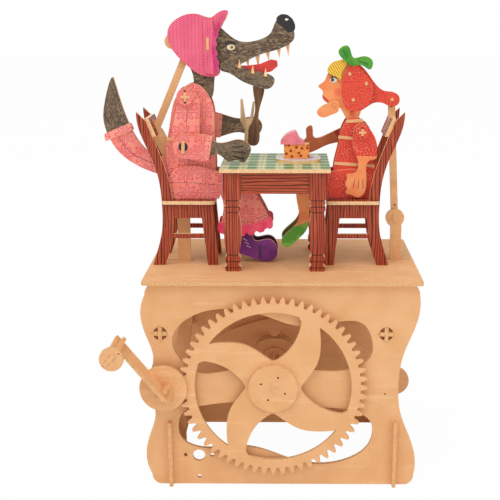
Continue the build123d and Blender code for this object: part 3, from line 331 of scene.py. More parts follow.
def doll_print(name, settings, skin_line=None, shoe_line=None, far_shade_depth=None):
    """Board printed as the doll's clothes, with bare skin and a shoe past stated lines, and painted
    shade on the boards behind a stated depth.
    """
    made, tree, surface, coords = start_material(name)
    place = coords["Object"]
    tone, drift = red_tone(tree, place, settings)
    if skin_line:
        skin = ink(tree, settings.skin, shade("F19A62"), drift, 0.35, 0.65)
        tone = ink(tree, tone, skin, beyond(tree, place, *skin_line), -BLUR, BLUR)
    if shoe_line:
        shoe = ink(tree, settings.green, shade("7DB44A"), drift, 0.4, 0.6)
        tone = ink(tree, tone, shoe, beyond(tree, place, *shoe_line), -BLUR, BLUR)
    # Painted shade: boards behind the stated depth are darkened towards a deep red-brown.
    if far_shade_depth:
        tone = paint_far_shade(tree, tone, place, shade("6E2414"), far_shade_depth, 0.55)
    close_board(tree, surface, coords, tone, settings.bare, FRONT, 0.55, drift)
    return made


def face_print(name, settings):
    """Board printed as the doll's face: even skin with a soft round blush on the cheek."""
    made, tree, surface, coords = start_material(name)
    place = coords["Object"]
    wander = grains(tree, place, 70, 3)
    tone = ink(tree, settings.skin, shade("F19A62"), wander, 0.35, 0.65)
    cheek = add(tree, "VectorMath", {0: place, 1: Vector(CHEEK) * MM}, operation="DISTANCE")
    tone = ink(tree, tone, shade("E85C48"), cheek, 5.0 * MM, 1.0 * MM, 0.7)
    close_board(tree, surface, coords, tone, settings.bare, FRONT, 0.5, wander)
    return made


def hair_print(name, settings):
    """Board printed as yellow hair: brown strands 1.9 mm apart that run down to the ear."""
    made, tree, surface, coords = start_material(name)
    place = coords["Object"]
    across = beyond(tree, place, (40.0, 348.0), (50.0, 332.0))
    bent = add(tree, "Math", {0: grains(tree, place, 90, 2), 1: 1.6 * MM}, operation="MULTIPLY")
    bent = add(tree, "Math", {0: bent, 1: across}, operation="ADD")
    strands = add(tree, "Math", {0: bent, 1: 2 * pi / (1.9 * MM)}, operation="MULTIPLY")
    strands = add(tree, "Math", {0: strands}, operation="SINE")
    tone = ink(tree, settings.hair, shade("9A5E1C"), strands, 0.2, 0.9, 0.85)
    close_board(tree, surface, coords, tone, settings.bare, FRONT, 0.5, strands, 0.06)
    return made


def plain_print(name, ground, second, edge, per_metre=200, stretch=(1, 1, 1), far=None):
    """Board printed in one ink that wanders a little between two tones, with painted shade
    darkening the far board.
    """
    made, tree, surface, coords = start_material(name)
    wander = grains(tree, coords["Object"], per_metre, 3, stretch, 0.4)
    tone = ink(tree, ground, second, wander, 0.35, 0.65)
    # Painted shade: the board behind 66 mm depth is darkened towards the far colour.
    if far:
        tone = paint_far_shade(tree, tone, coords["Object"], shade(far), 66.0, 0.85)
    close_board(tree, surface, coords, tone, edge, FRONT, 0.5, wander)
    return made


def checked_print(name, settings):
    """Board printed as a checked tablecloth: cream ground, green squares and thin lines."""
    made, tree, surface, coords = start_material(name)
    part = add(tree, "SeparateXYZ", {0: coords["Object"]}).outputs
    size = settings.check
    masks = []
    lines = []
    for axis, shift in ((0, 2.5 * MM), (1, 4.0 * MM)):
        phase = add(tree, "Math", {0: part[axis], 1: shift}, operation="ADD")
        phase = add(tree, "Math", {0: phase, 1: size}, operation="PINGPONG")
        masks.append(add(tree, "Math", {0: phase, 1: size / 2}, operation="GREATER_THAN"))
        lines.append(add(tree, "Math", {0: phase, 1: size * 0.22, 2: 0.4 * MM},
                         operation="COMPARE"))
    weave = grains(tree, coords["Object"], 500, 2)
    both = add(tree, "Math", {0: masks[0], 1: masks[1]}, operation="MULTIPLY")
    either = add(tree, "Math", {0: masks[0], 1: masks[1]}, operation="MAXIMUM")
    drawn = add(tree, "Math", {0: lines[0], 1: lines[1]}, operation="MAXIMUM")
    tone = ink(tree, settings.cream, settings.mist, either, 0.0, 1.0, 0.75)
    tone = ink(tree, tone, settings.green, both, 0.0, 1.0, 0.9)
    tone = ink(tree, tone, shade("F3EBC4"), drawn, 0.0, 1.0, 0.45)
    tone = ink(tree, tone, shade("8FA688"), weave, 0.45, 0.7, 0.35)
    close_board(tree, surface, coords, tone, settings.bare, LEVEL, 0.45, weave)
    return made


def plate_print(name, settings):
    """Board printed as a glazed plate: lilac well, pale rim with one thin line."""
    made, tree, surface, coords = start_material(name)
    flat = add(tree, "VectorMath", {0: coords["Object"], 1: (1, 1, 0)}, operation="MULTIPLY")
    away = add(tree, "VectorMath", {0: flat, 1: Vector((*PLATE, 0)) * MM},
               operation="DISTANCE")
    wander = grains(tree, coords["Object"], 120, 3)
    tone = ink(tree, shade("B3A6B4"), shade("C6BCC8"), wander, 0.35, 0.65)
    tone = ink(tree, tone, shade("DCD6D6"), away, 13.2 * MM, 13.8 * MM)
    line = add(tree, "Math", {0: away, 1: 16.5 * MM, 2: 0.4 * MM}, operation="COMPARE")
    tone = ink(tree, tone, shade("8E7F96"), line, 0.0, 1.0, 0.8)
    close_board(tree, surface, coords, tone, settings.bare, LEVEL, 0.35, wander, 0.02)
    return made


def sponge_print(name, settings):
    """Board printed as sponge cake: warm crumb with round dark berries 5 mm apart."""
    made, tree, surface, coords = start_material(name)
    length, _ = scattered(tree, coords["Object"], 5.0, 0.75)
    crumb = grains(tree, coords["Object"], 600, 3)
    tone = ink(tree, shade("EE8A3E"), shade("F2A858"), crumb, 0.4, 0.65)
    tone = ink(tree, tone, shade("9E2F1C"), length, 1.35 * MM, 1.05 * MM)
    close_board(tree, surface, coords, tone, settings.bare, FRONT, 0.6, crumb)
    return made


def enamel(name, ground, rough=0.4, per_metre=350):
    """Brushed-on enamel for small pieces: glossier than print, slightly uneven in the coat."""
    made, tree, surface, coords = start_material(name)
    wander = grains(tree, coords["Object"], per_metre, 2)
    tone = ink(tree, ground, [c * 0.75 for c in ground[:3]] + [1], wander, 0.35, 0.75)
    tree.links.new(tone.outputs[2], surface.inputs["Base Color"])
    bump = add(tree, "Bump", {"Height": wander, "Distance": 0.04 * MM, "Strength": 0.5})
    tree.links.new(bump.outputs[0], surface.inputs["Normal"])
    surface.inputs["Roughness"].default_value = rough
    surface.inputs["Coat Weight"].default_value = 0.2
    return made


# ---------------------------------------------------------------------------
# Shape helpers: sizes in millimetres, outlines as (x, z) pairs
# ---------------------------------------------------------------------------
def flat_piece(outline, front, thick, corner, rim=0.12):
    """A thin board from a few corners, its corners and front rim rounded."""
    mesh = bmesh.new()
    corners = [mesh.verts.new(Vector((x, front + thick, z)) * MM) for x, z in outline]
    mesh.faces.new(corners)
    if corner:
        bmesh.ops.bevel(mesh, geom=mesh.verts[:], offset=corner * MM, segments=4, profile=0.5,
                        affect="VERTICES", material=-1, clamp_overlap=True)
    grown = bmesh.ops.extrude_face_region(mesh, geom=mesh.faces[:])
    fresh = [item for item in grown["geom"] if isinstance(item, bmesh.types.BMVert)]
    bmesh.ops.translate(mesh, verts=fresh, vec=Vector((0, -thick, 0)) * MM)
    bmesh.ops.recalc_face_normals(mesh, faces=mesh.faces[:])
    round_rim(mesh, front + thick * 0.25, rim)
    return mesh


def round_rim(mesh, level, rim):
    """Round the edges of a front face that lies before a depth."""
    if rim:
        ring = [edge for edge in mesh.edges
                if all(vert.co.y < level * MM for vert in edge.verts)
                and edge.calc_face_angle(0) > 1.0]
        bmesh.ops.bevel(mesh, geom=ring, offset=rim * MM, segments=2, profile=0.5, affect="EDGES",
                        material=-1, clamp_overlap=True)


def disc_piece(centre, radius, front, thick, stretch=1.0, rim=0.12):
    """A round or oval board that faces the front."""
    mesh = bmesh.new()
    place = Matrix.Translation(Vector((centre[0], front + thick / 2, centre[1])) * MM)
    turned = place @ Matrix.Diagonal((stretch, 1, 1, 1)) @ Matrix.Rotation(radians(90), 4, "X")
    bmesh.ops.create_cone(mesh, cap_ends=True, segments=36, radius1=radius * MM,
                          radius2=radius * MM, depth=thick * MM, matrix=turned)
    round_rim(mesh, front + thick * 0.25, rim)
    return mesh


def bar_piece(centre, width, height, front, thick, turn=0.0):
    """The end of a tab that stands out of a board, at any angle."""
    across = Vector((cos(radians(turn)), sin(radians(turn)))) * width / 2
    up = Vector((-sin(radians(turn)), cos(radians(turn)))) * height / 2
    middle = Vector(centre)
    corners = [middle + across + up, middle - across + up,
               middle - across - up, middle + across - up]
    return flat_piece(corners, front, thick, corner=0.25)


def joined(parts):
    """Several bmeshes as one."""
    whole = bmesh.new()
    for part in parts:
        copy = bpy.data.meshes.new("part")
        part.to_mesh(copy)
        part.free()
        whole.from_mesh(copy)
        bpy.data.meshes.remove(copy)
    return whole


def place_piece(name, mesh, material, body):
    """Make the object, give it its finish and let it ride on its body."""
    data = bpy.data.meshes.new(name)
    bmesh.ops.recalc_face_normals(mesh, faces=mesh.faces[:])
    mesh.to_mesh(data)
    mesh.free()
    made = bpy.data.objects.new(name, data)
    bpy.context.scene.collection.objects.link(made)
    data.materials.append(material)
    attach(made, body)


def washer_marks(name, centre, radius, front, pale, dark, body):
    """The crossed strips on a shoulder washer, and two dark discs at its pin holes that paint the
    shade inside them.
    """
    cross = [bar_piece(centre, radius * 1.1, 1.9, front - depth, depth + 0.05, turn)
             for turn, depth in ((0, 0.7), (90, 0.5))]
    place_piece(name + "_cross", joined(cross), pale, body)
    # Painted shade: thin dark discs stand for the dark inside of the two pin holes.
    spots = [disc_piece((centre[0], centre[1] + side * radius * 0.66), 0.85, front - 0.12, 0.14,
                        rim=0) for side in (-1, 1)]
    place_piece(name + "_holes", joined(spots), dark, body)


def dress(material, *names):
    """Give CAD nodes a finish."""
    for name in names:
        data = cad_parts[name].data
        data.materials.clear()
        data.materials.append(material)


# ---------------------------------------------------------------------------
# Settings
# ---------------------------------------------------------------------------
class BoardSettings(bpy.types.PropertyGroup):
    board: colour_prop("Board", "EBB682", "Face of the bare fibreboard")
    edge: colour_prop("Cut edge", "E3B07A", "Laser-cut edge of the bare fibreboard")


class FurnitureSettings(bpy.types.PropertyGroup):
    stain: colour_prop("Stain", "B0462A", "Printed timber of chairs and table")
    grain: colour_prop("Grain", "3E130C", "Drawn grain lines")
    bare: colour_prop("Bare edge", "EFC592", "Cut edges of the furniture boards")
    cream: colour_prop("Cloth", "D2C588", "Ground of the tablecloth")
    mist: colour_prop("Cloth bands", "7C9C76", "Woven bands of the tablecloth")
    green: colour_prop("Cloth squares", "3A7440", "Squares of the tablecloth")
    check: size_prop("Check", 7.5, "Half of the tablecloth pattern's repeat")


class DinerSettings(bpy.types.PropertyGroup):
    cloth: colour_prop("Cloth", "EE8474", "Ground of the printed coat and skirt")
    motif: colour_prop("Motif", "D8204A", "Outline of the printed daisies")
    second: colour_prop("Second motif", "A0447A", "Outline of the small petals")
    bare: colour_prop("Bare edge", "E6B080", "Cut edges of the printed boards")
    fur: colour_prop("Fur", "574739", "Ground of the printed fur")
    dark_edge: colour_prop("Fur edge", "6A4E38", "Cut edges of the fur boards")
    cap: colour_prop("Cap", "DE4070", "Knitted cap")


class DollSettings(bpy.types.PropertyGroup):
    cloth: colour_prop("Cloth", "E14A32", "Coat and cap")
    speckle: colour_prop("Speckle", "F6A586", "Flecks on the coat")
    skin: colour_prop("Skin", "EC8650", "Face, hands and legs")
    hair: colour_prop("Hair", "F2C548", "Hair under the cap")
    green: colour_prop("Green", "569E34", "Bow and shoes")
    bare: colour_prop("Bare edge", "E6B080", "Cut edges of the printed boards")


class StageSettings(bpy.types.PropertyGroup):
    floor: colour_prop("Floor", "FCFBFA", "Plain pale floor")
    key: FloatProperty(name="Key lamp", description="Power of the large lamp",
                       subtype="POWER", default=17, min=0)
    fill: FloatProperty(name="Fill lamp", description="Power of the fill lamp",
                        subtype="POWER", default=6, min=0)
    daylight: FloatProperty(name="Daylight", description="Strength of the even light around",
                            subtype="FACTOR", default=0.65, min=0)


# ---------------------------------------------------------------------------
# Operators
# ---------------------------------------------------------------------------
class BareBoards(bpy.types.Operator):
    """Finish the bare fibreboard of base, gear train, levers and rods"""
    bl_idname = "automaton.bare_boards"
    bl_label = "Bare boards"

    def execute(self, context):
        settings = context.scene.automaton_boards
        dress(raw_board("Fibreboard_upright", FRONT, settings),
              "front_panel", "back_panel", "crank_bearing_plate", "main_gear", "camshaft_discs",
              "left_cam", "right_cam", "pinion", "crank_discs", "crank_knob_disc", "left_lever",
              "right_lever", "left_axle_collars", "right_axle_collars", "left_rod", "right_rod")
        dress(raw_board("Fibreboard_level", LEVEL, settings), "stage_board")
        dress(raw_board("Fibreboard_sideways", SIDE, settings),
              "left_side_board", "right_side_board")
        tab = raw_board("Fibreboard_tab", FRONT, settings)
        # Dark brown for the pin holes: a painted shade.
        hole = enamel("Pin_hole_shade", shade("3A2413"), 0.7)
        cross = [bar_piece(LEVER_BOSS, 3.0, 7.6, RIGHT_LEVER - 0.8, 0.9, 20),
                 bar_piece(LEVER_BOSS, 7.6, 2.8, RIGHT_LEVER - 0.5, 0.6, 20)]
        place_piece("lever_boss_cross", joined(cross), tab, "right_lever")
        key = flat_piece([(-95.6, 94.4), (-91.6, 94.0), (-89.8, 86.4), (-92.2, 78.4),
                          (-96.2, 79.4), (-94.6, 86.0)], -13.6, 3.9, 0.5)
        place_piece("crank_key", key, tab, "crank")
        grip = [bar_piece(GRIP, 12.0, 2.8, KNOB - 0.7, 1.0, 48),
                bar_piece(GRIP, 2.8, 12.0, KNOB - 0.4, 0.7, 48)]
        place_piece("knob_cross", joined(grip), tab, "crank")
        # Dark discs at the rod's pin holes: painted shade for the dark inside of each hole.
        spots = [disc_piece(centre, 0.8, RIGHT_ROD - 0.12, 0.14, rim=0)
                 for centre in ((91.0, 312.1), (96.6, 227.4))]
        place_piece("rod_pin_hole_shades", joined(spots), hole, "right_rod")
        dress(raw_board("Fibreboard_strip", SIDE, settings), "camshaft_strips", "crank_arm",
              "crank_cross_strips", "left_axle_strips", "right_axle_strips")
        return {"FINISHED"}


class Furniture(bpy.types.Operator):
    """Finish the chairs, the table, the plate and the cake"""
    bl_idname = "automaton.furniture"
    bl_label = "Furniture and cake"

    def execute(self, context):
        settings = context.scene.automaton_furniture
        dress(stained_board("Stained_upright", FRONT, 0, settings),
              "left_chair_sides", "right_chair_sides")
        beads = (182.6, 188.0, 193.6, 229.6, 234.2, 239.5)
        dress(stained_board("Stained_turned", FRONT, 0, settings, beads), "table_legs")
        dress(stained_board("Stained_apron", FRONT, 2, settings), "table_aprons")
        dress(stained_board("Stained_rail", SIDE, 2, settings),
              "left_chair_rails", "right_chair_rails")
        dress(stained_board("Stained_seat", LEVEL, 0, settings),
              "left_chair_seat", "right_chair_seat")
        dress(checked_print("Tablecloth_print", settings), "table_top")
        dress(plate_print("Plate_print", settings), "plate")
        dress(sponge_print("Sponge_print", settings), "cake_slice")
        dress(enamel("Icing_enamel", shade("F47E8A"), 0.45, 160), "cake_icing")
        return {"FINISHED"}


class Diner(bpy.types.Operator):
    """Finish the long-snouted diner and add its small pieces"""
    bl_idname = "automaton.diner"
    bl_label = "Diner"

    def execute(self, context):
        settings = context.scene.automaton_diner
        coat = coral_print("Coral_coat_print", settings, seams=[((-77.5, 316.0), (-79.5, 250.0))])
        sleeve = coral_print("Coral_sleeve_print", settings,
                             seams=[((-78.5, 313.0), (-80.5, 289.0))])
        skirt = coral_print("Coral_skirt_print", settings,
                            seams=[((-95.0, 250.0), (-74.0, 249.6)),
                                   ((-74.0, 249.6), (-20.0, 245.0)),
                                   ((-54.0, 218.0), (-31.0, 215.6)),
                                   ((-31.0, 215.6), (-12.5, 222.6))])
        dress(coat, "diner_coat_boards", "diner_pins_and_washers")
        dress(sleeve, "diner_near_sleeve")
        dress(skirt, "diner_skirt_boards")
        dress(limb_print("Tail_print", settings, (1, 1, 0.3), ((-149.0, 287.0), (-126.5, 296.5)),
                         seams=[((-137.5, 286.5), (-130.9, 277.6)),
                                ((-130.9, 277.6), (-123.7, 271.3)),
                                ((-123.7, 271.3), (-109.0, 264.8))]), "diner_tail")
        dress(limb_print("Forearm_print", settings, (0.3, 1, 1),
                         ((-60.5, 292.0), (-63.5, 262.0))), "diner_near_forearm")
        # The far arm's coral ground is a darker copy of the cloth: painted shade.
        dress(limb_print("Far_arm_print", settings, (0.3, 1, 1),
                         ((-54.5, 310.0), (-56.0, 280.0)), shade("A63A30")), "diner_far_arm")
        fur = fur_print("Fur_print", settings, (0.28, 1, 1))
        dress(fur, "diner_head", "diner_jaw")
        dress(knit_print("Knitted_cap_print", settings), "diner_cap_boards")
        # The far boot is darkened to a deep plum as painted shade.
        dress(plain_print("Boot_print", shade("7E3486"), shade("612468"), settings.bare,
                          per_metre=60, far="2E1424"), "diner_boots")
        tooth = plain_print("Tooth_print", shade("F6B67E"), shade("FAD9A8"), settings.bare,
                            per_metre=90)
        dress(tooth, "diner_teeth")
        dress(plain_print("Fork_print", shade("9C7C58"), shade("C2A078"), settings.bare,
                          stretch=(1, 1, 0.15)), "fork")
        dress(plain_print("Knife_print", shade("5A3A28"), shade("8A6242"), settings.bare,
                          stretch=(1, 1, 0.12)), "knife")

        laces = [bar_piece(centre, 4.4, 0.7, BOOT - 0.3, 0.4, -28)
                 for centre in ((-32.5, 200.0), (-31.0, 196.9), (-29.5, 193.8))]
        place_piece("boot_laces", joined(laces), enamel("Lace_enamel", shade("C9A6C4"), 0.5),
                    "base")
        place_piece("boot_band", bar_piece((-19.7, 189.4), 2.4, 11.0, BOOT - 0.3, 0.4, 3),
                    enamel("Boot_band_enamel", shade("3A1440")), "base")
        band = coral_print("Coral_cuff_print", settings, shade("F59A88"))
        frill = plain_print("Frill_print", shade("EE3F66"), shade("F4607C"), settings.bare,
                            per_metre=150)
        pale = raw_board("Bare_tab", FRONT, context.scene.automaton_boards)
        black = enamel("Black_enamel", shade("17120F"), 0.3)
        cuff = [(-149.8, 290.4), (-149.2, 283.8), (-125.0, 293.4), (-127.6, 299.6)]
        both = [flat_piece(cuff, depth, 1.0, 1.6) for depth in (TAIL - 1, TAIL + BOARD)]
        place_piece("tail_cuff", joined(both), band, "base")
        hem = [(-55.0, 216.0), (-44.0, 214.8), (-31.0, 213.6), (-20.0, 216.4), (-12.0, 221.2),
               (-8.6, 218.6), (-8.4, 211.6), (-11.6, 209.6), (-14.0, 212.0), (-16.4, 207.4),
               (-20.6, 206.6), (-22.4, 209.4), (-24.8, 204.8), (-29.0, 204.2), (-30.8, 207.4),
               (-33.2, 203.4), (-37.4, 203.6), (-39.0, 207.2), (-41.4, 203.8), (-45.6, 204.4),
               (-47.2, 208.0), (-49.6, 205.2), (-53.8, 206.2), (-56.2, 210.0)]
        both = [flat_piece(hem, depth, 0.8, 1.5) for depth in (SKIRT - 0.8, FAR_SKIRT + BOARD)]
        place_piece("skirt_frill", joined(both), frill, "base")
        lap = [(-97.6, 246.0), (-52.4, 246.0), (-53.6, 236.0), (-93.0, 236.0), (-96.6, 239.0)]
        place_piece("skirt_lap", flat_piece(lap, SKIRT - 0.1, BOARD, 1.2), skirt,
                    "base")
        fingers = [flat_piece([(x, z), (x + 9.0, z - drop), (x + 9.0, z - drop - 1.0),
                               (x, z - 0.7)], FOREARM - 0.3, 0.4, 0.2, 0)
                   for x, z, drop in ((-41.5, 281.0, -1.0), (-40.5, 277.6, 0.6),
                                      (-41.0, 274.0, 2.4))]
        place_piece("paw_lines", joined(fingers), black, "diner_near_forearm")
        cuff = [(-62.8, 290.6), (-58.0, 290.2), (-61.4, 269.4), (-66.0, 269.8)]
        place_piece("near_cuff", flat_piece(cuff, FOREARM - 0.8, 0.8, 1.0), band,
                    "diner_near_forearm")
        cuff = [(-57.6, 306.0), (-51.8, 305.4), (-53.6, 284.6), (-58.8, 285.0)]
        place_piece("far_cuff", flat_piece(cuff, FAR_ARM - 0.8, 0.8, 1.0), band,
                    "diner_far_arm")
        place_piece("coat_tab", bar_piece((-90.6, 286.1), 12.8, 2.8, DINER_COAT - 0.7, 0.7, -2),
                    pale, "base")
        # Painted shade: a black disc for the dark inside of the elbow hole that the tab passes
        # through.
        place_piece("elbow_hole_shade", disc_piece(ELBOW, 3.9, FOREARM - 0.2, 0.2, rim=0.05), black,
                    "diner_near_forearm")
        place_piece("elbow_tab", bar_piece(ELBOW, 2.7, 10.6, ELBOW_PIN - 0.7, 0.7, -2), pale,
                    "diner_near_sleeve")
        place_piece("cap_tab", bar_piece((-61.7, 364.0), 2.3, 9.8, DINER_CUFF - 0.6, 0.6), pale,
                    "diner_head")
        trim = [(-47.6, 387.6), (-48.4, 384.0), (-50.8, 380.8), (-50.4, 377.2), (-53.0, 374.2),
                (-52.6, 370.6), (-55.2, 367.4), (-53.8, 363.8), (-55.4, 360.2), (-53.4, 356.6),
                (-54.6, 352.8), (-52.2, 349.2), (-53.2, 345.6), (-52.4, 341.8), (-56.4, 341.4),
                (-57.6, 352.0), (-58.4, 362.0), (-57.0, 371.0), (-53.6, 379.0), (-49.8, 387.0)]
        wool = plain_print("Trim_print", shade("C4306C"), shade("D84A7E"), settings.bare,
                           per_metre=150)
        place_piece("cap_trim", flat_piece(trim, DINER_CUFF - 0.6, 0.8, 1.0), wool,
                    "diner_head")
        place_piece("cap_pin_disc", disc_piece((-91.8, 365.7), 6.0, DINER_HEAD + 0.2, 2.6), pale,
                    "diner_head")
        washer_marks("diner_washer", (-80.0, 322.0), 7.0, DINER_WASHER, pale, black, "base")

        amber = enamel("Amber_enamel", shade("E8B23C"), 0.3)
        cream = enamel("Cream_enamel", shade("F6EEDC"), 0.35)
        red = enamel("Tongue_enamel", shade("D8362C"), 0.35, 200)
        place_piece("diner_eye", disc_piece((-43.0, 361.0), 2.3, DINER_HEAD - 0.5, 0.5, 1.45),
                    cream, "diner_head")
        place_piece("diner_iris", disc_piece((-42.4, 361.0), 1.6, DINER_HEAD - 0.65, 0.2, rim=0.05),
                    amber, "diner_head")
        place_piece("diner_pupil",
                    disc_piece((-42.0, 361.1), 0.8, DINER_HEAD - 0.78, 0.2, rim=0.05), black,
                    "diner_head")
        brow = [(-48.4, 364.4), (-44.0, 366.4), (-38.6, 364.6), (-38.2, 363.4), (-43.6, 364.6),
                (-48.0, 363.2)]
        place_piece("diner_brow", flat_piece(brow, DINER_HEAD - 0.7, 0.7, 0.4), black,
                    "diner_head")
        nose = [(9.8, 374.4), (10.2, 379.0), (8.0, 383.8), (3.6, 387.4), (-1.6, 387.8),
                (-5.6, 385.0), (-5.2, 380.8), (-1.6, 378.6), (1.6, 376.2), (4.0, 373.2)]
        both = [flat_piece(nose, depth, 0.8, 1.6, 0.3)
                for depth in (DINER_HEAD - 0.8, DINER_HEAD + BOARD)]
        place_piece("diner_nose", joined(both), black, "diner_head")
        place_piece("nose_glint", disc_piece((3.0, 383.4), 0.9, DINER_HEAD - 0.9, 0.2, 1.6, 0.05),
                    cream, "diner_head")
        fangs = [flat_piece([(x - 1.5, z), (x + 1.5, z - 0.6), (x + 0.3, z + 7.0)],
                            DINER_JAW - 0.7, 0.7, 0.25)
                 for x, z in ((-36.0, 344.8), (-25.0, 340.4), (-14.5, 338.0))]
        place_piece("lower_fangs", joined(fangs), tooth, "diner_jaw")
        tongue = [(-42.0, 346.0), (-29.0, 346.4), (-19.0, 347.6), (-10.0, 351.4), (-4.8, 350.4),
                  (-4.2, 345.8), (-10.0, 341.2), (-18.0, 340.0), (-30.0, 341.0), (-42.0, 344.0)]
        place_piece("tongue", flat_piece(tongue, DINER_HEAD - 0.38, 0.26, 2.4, 0), red,
                    "diner_jaw")
        return {"FINISHED"}


class Doll(bpy.types.Operator):
    """Finish the doll and add its small pieces"""
    bl_idname = "automaton.doll"
    bl_label = "Doll"

    def execute(self, context):
        settings = context.scene.automaton_doll
        dress(doll_print("Red_cloth_print", settings), "doll_coat_boards", "doll_cap_boards",
              "doll_pins_and_washers")
        dress(doll_print("Doll_sleeve_print", settings, ((85.0, 272.2), (50.0, 272.8))),
              "doll_near_arm")
        # The far arm and the far leg get painted shade past their stated depths.
        dress(doll_print("Doll_far_arm_print", settings, ((50.5, 278.0), (42.0, 292.5)),
                         far_shade_depth=60.0), "doll_far_arm")
        dress(doll_print("Doll_leg_print", settings, ((30.0, 200.0), (30.0, 270.0)),
                         ((24.0, 216.4), (0.0, 207.3)), far_shade_depth=70.0), "doll_legs")
        dress(face_print("Face_print", settings), "doll_head", "doll_jaw")
        dress(hair_print("Hair_print", settings), "doll_hair")
        green = plain_print("Green_print", settings.green, shade("3F8A2A"), settings.bare,
                            per_metre=140)
        dress(green, "doll_bow")

        pale = raw_board("Bare_doll_tab", FRONT, context.scene.automaton_boards)
        black = enamel("Doll_black_enamel", shade("1B1410"), 0.3)
        white = enamel("Doll_white_enamel", shade("F8F2E6"), 0.35)
        brown = enamel("Doll_iris_enamel", shade("6E4A22"), 0.3)
        lips = enamel("Doll_lip_enamel", shade("C8352E"), 0.4)
        strips = [flat_piece(strip, DOLL_COAT - 0.7, 0.7, 0.3) for strip in (
            [(52.6, 301.9), (66.6, 302.9), (67.2, 300.2), (52.6, 299.2)],
            [(46.6, 289.0), (60.0, 287.4), (60.0, 285.0), (46.2, 286.4)],
            [(43.3, 266.8), (77.4, 264.4), (77.6, 261.9), (43.1, 264.2)],
        )]
        place_piece("doll_coat_strips", joined(strips), pale, "base")
        washer_marks("doll_washer", (66.0, 292.5), 5.5, DOLL_WASHER, pale, black, "base")
        tabs = [bar_piece(centre, 2.4, 2.8, DOLL_CAP - 0.6, 0.6, turn)
                for centre, turn in (((69.1, 331.7), 25), ((58.6, 318.3), 18), ((55.3, 339.5), 30))]
        place_piece("doll_cap_tabs", joined(tabs), pale, "doll_head")
        place_piece("doll_cap_tip", disc_piece((92.0, 318.0), 5.9, FAR_CAP - 0.8, 0.8),
                    doll_print("Cap_tip_print", settings), "doll_head")
        place_piece("doll_tip_tab", bar_piece((91.4, 318.2), 2.6, 2.6, FAR_CAP - 1.4, 0.6, 10),
                    pale, "doll_head")
        place_piece("doll_eye", disc_piece((42.0, 334.6), 2.3, DOLL_HEAD - 0.5, 0.5, 1.3),
                    white, "doll_head")
        place_piece("doll_iris", disc_piece((41.2, 334.5), 1.5, DOLL_HEAD - 0.64, 0.2, rim=0.05),
                    brown, "doll_head")
        place_piece("doll_pupil", disc_piece((40.9, 334.5), 0.75, DOLL_HEAD - 0.76, 0.2, rim=0.05),
                    black, "doll_head")
        brow = [(38.0, 339.2), (41.8, 341.0), (46.0, 339.8), (45.8, 338.9), (41.8, 339.9),
                (38.4, 338.4)]
        place_piece("doll_brow", flat_piece(brow, DOLL_HEAD - 0.5, 0.4, 0.3), brown,
                    "doll_head")
        lash = [(38.9, 336.4), (42.0, 337.7), (45.6, 336.3), (45.9, 335.0), (42.0, 336.6),
                (39.2, 335.6)]
        place_piece("doll_lash", flat_piece(lash, DOLL_HEAD - 0.8, 0.4, 0.25), black,
                    "doll_head")
        lip = [(32.6, 322.0), (33.2, 319.8), (37.2, 316.2), (38.4, 317.2), (34.6, 320.6)]
        place_piece("doll_upper_lip", flat_piece(lip, DOLL_HEAD - 0.4, 0.4, 0.5), lips,
                    "doll_head")
        lap = [(32.0, 243.0), (50.0, 246.0), (79.0, 246.0), (77.6, 238.6), (74.0, 236.0),
               (36.0, 236.0)]
        place_piece("doll_lap", flat_piece(lap, DOLL_LEG - 0.1, BOARD, 1.0),
                    doll_print("Doll_lap_print", settings), "base")
        fingers = [flat_piece([(x, z), (x + 0.6, z), (x + 0.6 - lean, z - 7.5),
                               (x - lean, z - 7.5)], DOLL_ARM - 0.3, 0.4, 0.2, 0)
                   for x, z, lean in ((60.4, 253.0, 1.6), (63.6, 252.2, 0.6), (66.8, 252.6, -0.6))]
        crease = enamel("Doll_crease_enamel", shade("B4562C"), 0.5)
        place_piece("hand_lines", joined(fingers), crease, "doll_near_arm")
        veins = [bar_piece((51.3, 356.1), 7.0, 0.7, BOW - 0.3, 0.4, 118),
                 bar_piece((66.4, 349.0), 8.0, 0.7, BOW - 0.3, 0.4, -18)]
        place_piece("bow_veins", joined(veins), enamel("Vein_enamel", shade("24661E"), 0.5),
                    "doll_head")
        place_piece("doll_bow_knot", disc_piece((58.6, 350.0), 2.7, BOW - 0.8, 0.8, 0.9), green,
                    "doll_head")
        return {"FINISHED"}


